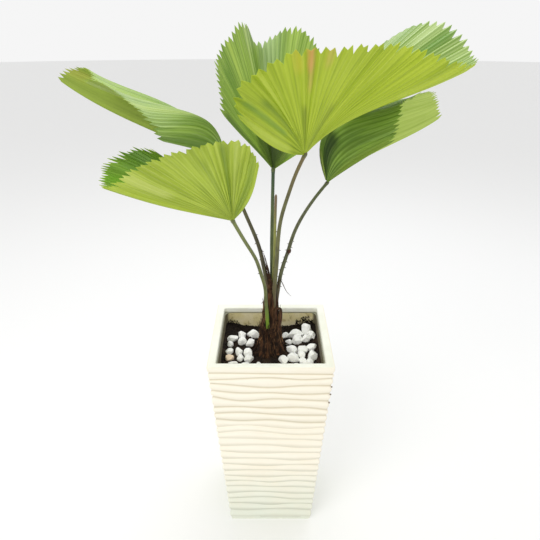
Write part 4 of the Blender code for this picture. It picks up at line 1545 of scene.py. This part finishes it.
# %% Sheath and stalk details
# Lines in mm, each from its foot to its tip
CURLED_SHEATH = ((16, -22, 630), (23, -23, 648), (27, -23, 670), (28, -23, 690), (24, -23, 704),
                 (17, -23, 703), (13, -23, 690), (13, -23, 668))
LOOSE_FIBRE = ((20, -10, 760), (25, -12, 785), (36, -12, 764), (44, -12, 748), (55, -12, 736))
SMALL_HOOK = ((-12, -31, 728), (-21, -33, 729), (-25, -33, 723))
STALK_NODE_PLACE = (0.0478, 0.0130, 0.858)
STALK_NODE_AXIS = (0.33, 0.15, 1.0)
STALK_NODE_RADII = (0.0062, 0.0062, 0.0085)
# Heights along the brown stalk's foot, and how far left its middle lies there
FOOT_HEIGHTS = (0.705, 0.770, 0.813, 0.853, 0.897)
FOOT_MIDDLES = (-0.008, -0.010, -0.018, -0.026, -0.039)


def frayed_fibre(chance):
    """A fibre of the ragged sheath between the brown stalk and the stem."""
    low = chance.uniform(0.715, 0.775)
    high = low + chance.uniform(0.040, 0.105)
    inwards = chance.uniform(0.0, 0.011)
    line = []
    for share in np.linspace(0.0, 1.0, 8):
        height = low + (high - low) * share
        middle = float(np.interp(height, FOOT_HEIGHTS, FOOT_MIDDLES))
        x = middle + 0.004 + inwards * (1 - 0.6 * share)
        y = -0.006 + 0.004 * share + chance.uniform(-0.0012, 0.0012)
        line.append((x + chance.uniform(-0.0008, 0.0008), y, height))
    return line


for name, route, thickness in (
        ("curled_sheath", CURLED_SHEATH, 0.0050),
        ("loose_fibre", LOOSE_FIBRE, 0.0013),
        ("small_hook", SMALL_HOOK, 0.0013)):
    line = smooth_route([Vector(point) / 1000 for point in route], 24)
    piece = strand_piece(name, [line], thickness, 2)
    dress(piece, None, "stem", shred_coat)
    finish_piece(piece, 80.0)
strand_bundle("frayed_sheath", frayed_fibre, 34, 0.0010, 1, shred_coat)
stalk_node = knob_piece("stalk_node", STALK_NODE_PLACE, STALK_NODE_AXIS, STALK_NODE_RADII, 18, 10)
dress(stalk_node, None, "old_stalk", THORN_COAT)
finish_piece(stalk_node, 80.0)

# %% [markdown]
# ### Hastulas
#
# Where a stalk runs into its blade there is a small raised knob, the hastula, and all folds start
# from it. The tube could simply end inside the blade, but the joint would look stuck together. A
# ball stretched along the stalk covers the joint and gives the folds a place to start.

# %% Hastulas
HASTULA_RADII = (0.0052, 0.0052, 0.0085)

for name, place in HASTULAS.items():
    axis = Vector(place) - Vector(STALKS[name]["route"][-1]) / 1000
    knob = knob_piece("hastula_" + name, place, axis, HASTULA_RADII, 20, 12)
    dress(knob, None, stalk_slot(name), STALK_COATS[name])
    finish_piece(knob, 80.0)
print("hastulas:", len(HASTULAS))

# %% [markdown]
# ### Old cut stalk
#
# One leaf was cut off long ago, and its yellowish stalk still stands among the others, rounded off
# at its tip. It is made as the other stalks are, without the groove, and its last rings shrink on a
# quarter circle. A ball on the end would leave a seam.

# %% Cut stalk
CUT_ROWS = 70
TIP_FROM = 0.975
TIP_SHARE = 0.026

cut_route = smooth_route([Vector(point) / 1000 for point in CUT_STALK_ROUTE], CUT_ROWS)
cut_share = np.linspace(0.0, 1.0, CUT_ROWS)
cut_radii = CUT_STALK_RADII[0] + (CUT_STALK_RADII[1] - CUT_STALK_RADII[0]) * cut_share
rounded_top = np.sqrt(np.clip(1 - ((cut_share - TIP_FROM) / TIP_SHARE).clip(0, 1) ** 2, 0.02, 1))
cut_stalk = grid_piece("old_cut_stalk", swept_rings(cut_route, cut_radii * rounded_top, STALK_SIDES))
weld_and_close(cut_stalk)
dress(cut_stalk, "cut_stalk", "old_stalk", STALK_COATS["cut"])
finish_piece(cut_stalk, 60.0)
print("faces of the cut stalk:", len(cut_stalk.data.polygons))

# %% [markdown]
# ## Leaves
#
# Each leaf is a fan of narrow segments grown together side by side, folded like a paper fan, with a
# notched margin. The two front leaves are troughs that show their yellow-green underside, the back
# one stands upright and cupped, and the two far ones arch over like hoods. A flat fan could be
# extruded and then bent with lattices, but the five bends all differ. A few control ribs, each an
# arched line from the hastula to the margin, say how a blade bends; a spline blends them round the
# fan; and folds, teeth and a slight flutter are added along the surface's normals.

# %% Leaf sizes
# For each rib: its tip from the hastula in mm, the slope at which it rises off its chord, and the
# slope at which it comes down again
LEAVES = {
    "front_right": dict(
        pleats=32, arch=(0.0, 0.0, 1.0), upper=(0.0, 0.0, 1.0),
        ribs=(
            (-130, -170, 100, -0.36, -0.26),
            (-135, -185, 130, 0.10, 0.05),
            (-90, -200, 185, 0.20, 0.10),
            (-20, -200, 215, 0.15, 0.10),
            (35, -185, 215, 0.13, 0.10),
            (85, -160, 220, 0.15, 0.10),
            (200, -100, 210, 0.25, 0.05),
            (335, 0, 180, 0.45, -0.10),
            (370, 100, 200, 0.38, 0.00),
            (325, 160, 255, 0.25, 0.15),
            (255, 200, 255, 0.30, 0.20),
            (190, 220, 210, 0.40, 0.20),
            (130, 200, 150, 0.45, 0.20),
        ),
    ),
    "front_left": dict(
        pleats=28, arch=(0.0, 0.0, 1.0), upper=(0.0, 0.0, 1.0),
        ribs=(
            (65, -200, 175, -0.22, -0.50),
            (50, -220, 210, 0.08, 0.05),
            (-5, -240, 220, 0.15, 0.10),
            (-65, -240, 205, 0.12, 0.10),
            (-140, -220, 175, 0.05, 0.00),
            (-225, -140, 115, -0.04, -0.12),
            (-260, -40, 120, 0.10, 0.10),
            (-255, 40, 135, 0.20, 0.10),
            (-215, 90, 140, 0.30, 0.10),
            (-185, 130, 125, 0.35, 0.10),
        ),
    ),
    "back_middle": dict(
        pleats=28, arch=(0.0, -1.0, 0.3), upper=(0.0, -1.0, 0.3),
        ribs=(
            (-110, -140, 155, 0.75, 0.25),
            (-115, -100, 195, 0.40, 0.15),
            (-125, -40, 255, 0.20, 0.10),
            (-105, 10, 295, 0.15, 0.10),
            (-70, 60, 330, 0.10, 0.10),
            (-35, 160, 285, 0.10, 0.10),
            (40, 140, 320, 0.10, 0.10),
            (110, 80, 270, 0.15, 0.10),
            (125, 20, 175, 0.20, 0.10),
            (90, -55, 74, 0.55, 0.20),
        ),
    ),
    "far_left": dict(
        pleats=24, arch=(0.0, 0.0, 1.0), upper=(0.0, 0.0, 1.0),
        ribs=(
            (-115, -180, 95, 0.30, 0.10),
            (-135, -180, 130, 1.45, 0.35),
            (-170, -180, 170, 1.65, 0.20),
            (-220, -150, 200, 1.30, 0.10),
            (-275, -100, 205, 1.00, 0.10),
            (-305, 20, 200, 0.95, 0.10),
            (-345, 80, 220, 0.85, 0.10),
            (-395, 100, 210, 0.40, 0.10),
            (-415, 100, 190, 0.05, -0.20),
        ),
    ),
    "far_right": dict(
        pleats=24, arch=(-0.22, 0.0, 1.0), upper=(0.0, 0.0, 1.0),
        ribs=(
            (125, -160, 140, 0.05, 0.05),
            (125, -180, 175, 0.80, 0.25),
            (130, -180, 210, 1.70, 0.40),
            (160, -120, 225, 2.40, 0.40),
            (215, 0, 225, 2.50, 0.40),
            (265, 60, 220, 1.90, 0.40),
            (295, 100, 190, 1.00, 0.20),
            (315, 120, 150, 0.20, -0.08),
        ),
    ),
}
COLUMNS_PER_PLEAT = 12
BLADE_ROWS = 40
FIRST_STATION = 0.014
STATION_POWER = 1.7
BLADE_THICKNESS = 0.0009
FOLD_SHARE = 0.060
# How shallow the folds of the arching leaves are, and how much the folds of one leaf differ
CALM_FOLDS = {"far_left": 0.60, "far_right": 0.45}
FOLD_SPREAD = (0.15, 1.70)
MIDDLE_FURROW = -0.45
TOOTH_DEPTH = 0.0075
LONG_TOOTH = 1.3
EVEN_TOOTH = 0.1
# Where across a blade its teeth become longer, finer or nearly even
LONG_TEETH_FROM = {"front_left": 0.60}
FINE_TEETH_FROM = {"front_left": 0.60, "front_right": 0.62}
EVEN_FROM = {"front_right": 0.82}
# How deep each segment's own tip is split, from 1 for whole to -1 for deep
TIP_NOTCHES = {"front_right": 0.25, "front_left": -0.20}
OTHER_TIP_NOTCH = -0.65
TOOTH_START = 0.86
FLUTTER = 0.004


# %% Leaf surface
def blade_stations():
    steps = np.linspace(0.0, 1.0, BLADE_ROWS)
    return FIRST_STATION + (1 - FIRST_STATION) * (1 - (1 - steps) ** STATION_POWER)


def fan_surface(leaf, stations):
    """Points and unit normals of the smooth fan, by row from the hastula and by column."""
    arch = unit(np.array(leaf["arch"]))
    rows = []
    for x, y, z, rise, fall in leaf["ribs"]:
        tip = np.array((x, y, z)) / 1000
        length = np.linalg.norm(tip)
        up = arch - tip * (arch @ tip) / length ** 2
        bow = rise * stations * (1 - stations) ** 2 + fall * stations ** 2 * (1 - stations)
        rows.append(stations[:, None] * tip + (length * bow)[:, None] * up)
    rows = np.array(rows)
    tips = unit(rows[:, -1])
    turns = np.arccos((tips[1:] * tips[:-1]).sum(axis=1))
    knots = np.concatenate(([0.0], np.cumsum(turns)))
    flat = rows.reshape(len(rows), -1)
    fine = np.linspace(0.0, knots[-1], 400)
    trial = natural_spline(knots, flat, fine)
    margin = np.linalg.norm(np.diff(trial[:, -3:], axis=0), axis=1)
    travelled = np.concatenate(([0.0], np.cumsum(margin)))
    columns = leaf["pleats"] * COLUMNS_PER_PLEAT + 1
    even = np.interp(np.linspace(0.0, travelled[-1], columns), travelled, fine)
    grid = natural_spline(knots, flat, even).reshape(columns, len(stations), 3).transpose(1, 0, 2)
    normals = unit(np.cross(np.gradient(grid, axis=1), np.gradient(grid, axis=0)))
    return grid, normals, travelled[-1]


def folded_fan(name, leaf, seed):
    """The fan with its folds, its notched margin and a slight flutter."""
    stations = blade_stations()
    grid, normals, margin = fan_surface(leaf, stations)
    columns = grid.shape[1]
    chance = np.random.default_rng(seed)
    phase = np.linspace(0.0, leaf["pleats"], columns)
    across = phase / leaf["pleats"]
    offset = phase - np.rint(phase)
    from_tooth = np.abs(offset)
    teeth = np.arange(leaf["pleats"] + 1)
    own_tooth = np.rint(phase).astype(int)
    fold_gain = np.interp(phase, teeth, chance.uniform(*FOLD_SPREAD, len(teeth)))
    tooth_gain = chance.uniform(0.65, 1.35, len(teeth))[own_tooth]
    tooth_gain = tooth_gain * np.where(across > LONG_TEETH_FROM.get(name, 1.0), LONG_TOOTH, 1.0)
    tooth_gain = tooth_gain * np.where(across > EVEN_FROM.get(name, 1.0), EVEN_TOOTH, 1.0)
    slant = chance.uniform(-0.7, 0.7, len(teeth))[own_tooth]
    fold = np.interp(from_tooth, (0.0, CREST_PLACE, 0.5), (MIDDLE_FURROW, 1.0, -1.0))
    swing = margin / leaf["pleats"] * FOLD_SHARE * CALM_FOLDS.get(name, 1.0)
    lift = swing * (fold * fold_gain)[None, :] * stations[:, None]
    flutter = np.array([[noise.noise(Vector((s * 2.2, p * 0.35, seed * 3.1))) for p in phase]
                        for s in stations]) * FLUTTER * stations[:, None] ** 2
    folded = grid - normals * (lift + flutter)[:, :, None]
    outwards = unit(grid[-1] - grid[-2])
    fine_teeth = across > FINE_TEETH_FROM.get(name, 1.0)
    notch = np.where(fine_teeth, OTHER_TIP_NOTCH, TIP_NOTCHES.get(name, OTHER_TIP_NOTCH))
    inner = notch + (1.0 - notch) * from_tooth / CREST_PLACE
    outer = 1.0 - 2.2 * (from_tooth - CREST_PLACE) / (0.5 - CREST_PLACE)
    tooth = np.where(from_tooth < CREST_PLACE, inner, outer) + slant * offset * 2
    growing = np.clip((stations - TOOTH_START) / (1 - TOOTH_START), 0.0, 1.0)
    reach = (tooth * tooth_gain * TOOTH_DEPTH)[None, :] * growing[:, None]
    return folded + outwards[None] * reach[:, :, None], normals, stations


print("steps along a rib:", np.round(np.diff(blade_stations())[[0, -1]], 4))

# %% [markdown]
# ### Leaf finish
#
# Under a lens each segment has a pale rib on its folds and fine parallel veins between them. The
# upper side is deeper green with a waxy, slightly blue gloss; the underside is matt and yellower,
# and both are darker near the stalk. The furrows seen from each side also get painted shade, and
# the ridges a painted highlight, most strongly near the stalk. The finish reads all of this from
# the fold group, so the stripes run from the stalk to the margin however the blade bends.

# %% Leaf finishes
def leaf_finish(name, pleats, tones, tints_and_shading, striped, roughness, dark_crests, **constants):
    """Dark lines, partly painted shade, lie in the upper side's furrows, the underside's crests; ridges get
    a painted highlight.
    """
    light, middle, dark, rib_and_highlight_colour = [paint(*tone) for tone in tones]
    material, tree, shader = new_material(name, roughness, **constants)
    fan = use_group(tree, fan_folds, Pleats=float(pleats))
    lines, ridges = ("Crest", "Furrow") if dark_crests else ("Furrow", "Crest")
    colour = blend(tree, ease(tree, fan["Broad"], 0.36, 0.62), middle, light)
    pale_streak = ease(tree, fan["Fine"], 0.52, 0.68, 0.0, 0.60)
    colour = blend(tree, pale_streak, colour, rib_and_highlight_colour)
    dark_streak = ease(tree, fan["Fine"], 0.48, 0.32, 0.0, 0.40)
    colour = blend(tree, dark_streak, colour, dark)
    far_out = ease(tree, fan["Along"], 0.15, 0.55, 0.0, 0.10)
    colour = layer(tree, colour, dark, fan["Vein"], far_out)
    far_out = ease(tree, fan["Along"], 0.25, 0.75, 0.0, striped)
    colour = layer(tree, colour, rib_and_highlight_colour, fan["Stripe"], far_out)
    between = ease(tree, fan["Stripe"], 0.5, 0.0, 0.0, 0.6)
    colour = layer(tree, colour, dark, between, far_out)
    # Painted shade darkens the furrows and a painted highlight lightens the ridges, on top of their own
    # darker green and paler ribs; both are strongest near the stalk
    uneven = ease(tree, fan["Face tone"], 0.0, 1.0, 0.3, 1.0)
    furrow_tone_and_shade = sums(tree, "MULTIPLY", uneven, ease(tree, fan["Along"], 0.05, 0.80, 0.90, 0.20))
    colour = layer(tree, colour, dark, fan[lines], furrow_tone_and_shade)
    near_stalk = ease(tree, fan["Along"], 0.0, 0.40, 0.40, 0.0)
    colour = blend(tree, near_stalk, colour, dark)
    rib_tone_and_highlight = sums(tree, "MULTIPLY", uneven, ease(tree, fan["Along"], 0.1, 0.7, 0.55, 0.25))
    colour = layer(tree, colour, rib_and_highlight_colour, fan[ridges], rib_tone_and_highlight)
    # Rays of other tints, and rays of painted shade, light and sheen
    for place, half_width, low, high, tint, strength in tints_and_shading:
        mask = use_group(tree, ray, Place=place, Half_width=half_width, From=low, To=high)["Mask"]
        colour = layer(tree, colour, paint(*tint), mask, strength)
    feed(tree, shader.inputs["Base Color"], colour)
    ridges = sums(tree, "MULTIPLY_ADD", fan["Crest"], 1.5, fan["Vein"])
    add_bump(tree, shader, ridges, 0.35, 0.0004)
    return material


# Light, middle, dark and rib tones of each side; the dark tone also paints the furrows' shade and
# the rib tone the ridges' highlight
LEAF_PAINTS = {
    "front_right": dict(
        upper=((156, 186, 90), (132, 166, 66), (88, 128, 46), (204, 224, 152)),
        under=((186, 206, 52), (168, 190, 40), (112, 138, 24), (198, 215, 74)),
    ),
    "front_left": dict(
        upper=((134, 178, 58), (108, 152, 46), (64, 98, 34), (150, 188, 84)),
        under=((182, 203, 66), (158, 180, 46), (104, 128, 28), (196, 212, 88)),
    ),
    "back_middle": dict(
        upper=((158, 190, 70), (124, 162, 50), (66, 94, 30), (188, 210, 112)),
        under=((158, 184, 84), (140, 168, 70), (96, 122, 44), (178, 200, 110)),
    ),
    "far_left": dict(
        upper=((168, 200, 84), (136, 174, 62), (72, 104, 38), (202, 222, 148)),
        under=((156, 178, 66), (140, 162, 50), (104, 128, 36), (168, 188, 82)),
    ),
    "far_right": dict(
        upper=((132, 166, 56), (100, 134, 42), (48, 74, 24), (160, 190, 104)),
        under=((192, 214, 104), (176, 200, 88), (136, 162, 58), (200, 218, 124)),
    ),
}
# Strength of the fine stripes, specular level and coat of the upper sides
UPPER_LOOKS = {
    "front_right": (0.55, 0.35, 0.03),
    "front_left": (0.20, 0.30, 0.02),
    "back_middle": (0.28, 0.40, 0.05),
    "far_left": (0.22, 0.45, 0.05),
    "far_right": (0.20, 0.12, 0.0),
}
# Rays of another tint, painted shade, painted light and painted sheen: place across the blade,
# half width, from and to along the rib, tint, strength
LEAF_TINTS_AND_SHADING = {
    "front_right": dict(
        under=(
            (0.188, 0.009, 0.90, 1.0, (232, 150, 100), 0.60),
            (0.190, 0.010, 0.72, 0.9, (222, 180, 110), 0.40),
            (0.222, 0.012, 0.94, 1.0, (222, 180, 110), 0.35),
            (0.165, 0.014, 0.90, 1.0, (214, 204, 70), 0.50),
            (0.010, 0.024, 0.30, 1.0, (204, 220, 96), 0.55),
            (0.040, 0.013, 0.40, 0.88, (120, 160, 66), 0.60),
            (0.068, 0.016, 0.15, 0.70, (112, 142, 40), 0.60),
            (0.100, 0.012, 0.30, 0.90, (212, 228, 92), 0.50),
            (0.175, 0.020, 0.05, 0.45, (122, 142, 34), 0.60),
            (0.300, 0.030, 0.05, 0.45, (122, 142, 34), 0.50),
        ),
        upper=(
            (0.745, 0.020, 0.80, 0.94, (108, 154, 60), 0.75),
            (0.780, 0.022, 0.86, 1.0, (206, 226, 160), 0.50),
            (0.840, 0.040, 0.20, 1.0, (120, 160, 74), 0.45),
        ),
    ),
    "front_left": dict(
        under=(
            (0.138, 0.018, 0.10, 0.92, (116, 144, 40), 0.70),
            (0.100, 0.016, 0.25, 1.0, (196, 212, 104), 0.55),
            (0.030, 0.026, 0.20, 0.95, (120, 148, 44), 0.60),
            (0.205, 0.020, 0.20, 0.80, (136, 160, 50), 0.50),
            (0.420, 0.040, 0.70, 1.0, (206, 218, 118), 0.55),
            (0.500, 0.035, 0.30, 0.90, (172, 194, 36), 0.60),
        ),
        upper=(
            (0.680, 0.060, 0.60, 0.97, (118, 176, 44), 0.65),
            (0.880, 0.090, 0.30, 1.0, (88, 128, 52), 0.60),
        ),
    ),
    # The whitish and bluish rays of this leaf paint the sheen along its folds
    "back_middle": dict(
        upper=(
            (0.363, 0.010, 0.40, 1.0, (222, 234, 168), 0.95),
            (0.335, 0.010, 0.40, 1.0, (204, 222, 140), 0.70),
            (0.405, 0.034, 0.40, 1.0, (116, 146, 58), 0.70),
            (0.505, 0.065, 0.50, 1.0, (186, 210, 158), 0.60),
            (0.190, 0.035, 0.30, 0.85, (98, 140, 40), 0.60),
            (0.250, 0.012, 0.40, 1.0, (190, 212, 96), 0.65),
            (0.120, 0.030, 0.60, 1.0, (156, 188, 74), 0.55),
            (0.010, 0.035, 0.30, 0.90, (64, 94, 34), 0.70),
            (0.500, 0.700, -0.20, 0.27, (48, 70, 22), 0.80),
            (0.700, 0.050, 0.40, 1.0, (104, 142, 48), 0.50),
        ),
        under=(),
    ),
    "far_left": dict(
        upper=(
            (0.180, 0.040, 0.55, 1.0, (190, 212, 112), 0.55),
            (0.010, 0.040, 0.30, 1.0, (92, 126, 46), 0.65),
            (0.300, 0.080, 0.05, 0.45, (134, 166, 96), 0.45),
        ),
        under=(
            (0.920, 0.060, 0.93, 1.0, (160, 140, 60), 0.30),
            (0.980, 0.030, 0.20, 1.0, (120, 140, 46), 0.50),
        ),
    ),
    # The dark rays of this leaf paint the shade it lies in, and the whitish one at its margin paints sheen
    "far_right": dict(
        upper=(
            (0.160, 0.070, -0.10, 0.34, (40, 62, 18), 0.85),
            (0.010, 0.050, 0.10, 0.90, (124, 146, 52), 0.60),
            (0.240, 0.080, 0.78, 1.0, (176, 202, 144), 0.60),
            (0.090, 0.020, 0.40, 1.0, (96, 124, 36), 0.50),
        ),
        under=(
            (0.420, 0.360, -0.10, 0.60, (50, 72, 24), 0.95),
        ),
    ),
}

print("rays of another tint:", {name: len(t["upper"]) + len(t["under"]) for name, t in LEAF_TINTS_AND_SHADING.items()})

# %% [markdown]
# ### Leaf pieces
#
# A blade is barely a millimetre thick and shows both its sides, each with its own finish. Two
# surfaces a hair apart would flicker, so one surface is given a thickness by a Solidify modifier,
# which hands its other side the second material. Where a blade's rule runs the other way round, it
# is flipped first, so that the waxy finish is always on the upper side.

# %% Leaf pieces
UPPER_ROUGHNESS = 0.40
UNDER_ROUGHNESS = 0.58
UNDER_STRIPES = 0.10

for seed, (name, leaf) in enumerate(LEAVES.items(), start=1):
    points, normals, stations = folded_fan(name, leaf, seed)
    hastula = np.array(HASTULAS[name])
    blade = grid_piece("leaf_" + name, points + hastula, stations)
    facing = (normals.mean(axis=(0, 1)) @ np.array(leaf["upper"])) > 0
    if not facing:
        bpy.ops.object.mode_set(mode="EDIT")
        bpy.ops.mesh.select_all(action="SELECT")
        bpy.ops.mesh.flip_normals()
        bpy.ops.object.mode_set(mode="OBJECT")
    pleats, paints, tints_and_shading = leaf["pleats"], LEAF_PAINTS[name], LEAF_TINTS_AND_SHADING[name]
    striped, waxy, coated = UPPER_LOOKS[name]
    glossy = leaf_finish("upper_side_" + name, pleats, paints["upper"], tints_and_shading["upper"], striped,
                         UPPER_ROUGHNESS, facing,
                         Specular_IOR_Level=waxy, Coat_Weight=coated, Coat_Roughness=0.35)
    matt = leaf_finish("underside_" + name, pleats, paints["under"], tints_and_shading["under"], UNDER_STRIPES,
                       UNDER_ROUGHNESS, not facing, Specular_IOR_Level=0.3)
    slot_name = "pale_leaf" if name.startswith("front") else "dark_leaf"
    dress(blade, "blade_" + name, slot_name, glossy, matt)
    apply_modifier(blade, "SOLIDIFY", thickness=BLADE_THICKNESS, offset=0.0, material_offset=1,
                   material_offset_rim=1)
    finish_piece(blade, 55.0)
    print("leaf", name, "faces:", len(blade.data.polygons), "upper side was up:", bool(facing))

# %% [markdown]
# ## Measure and finish
#
# How far the dressed plant moves each side of the part's own box is printed. The dressed plant
# has to stay inside the part's own box.

# %% Measure and finish
low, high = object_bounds()
for side, cad, dressed in (("low", cad_low, low), ("high", cad_high, high)):
    print("the dressed part moves its", side, "side by, in mm:",
          [round((b - a) * 1000, 1) for a, b in zip(cad, dressed)])
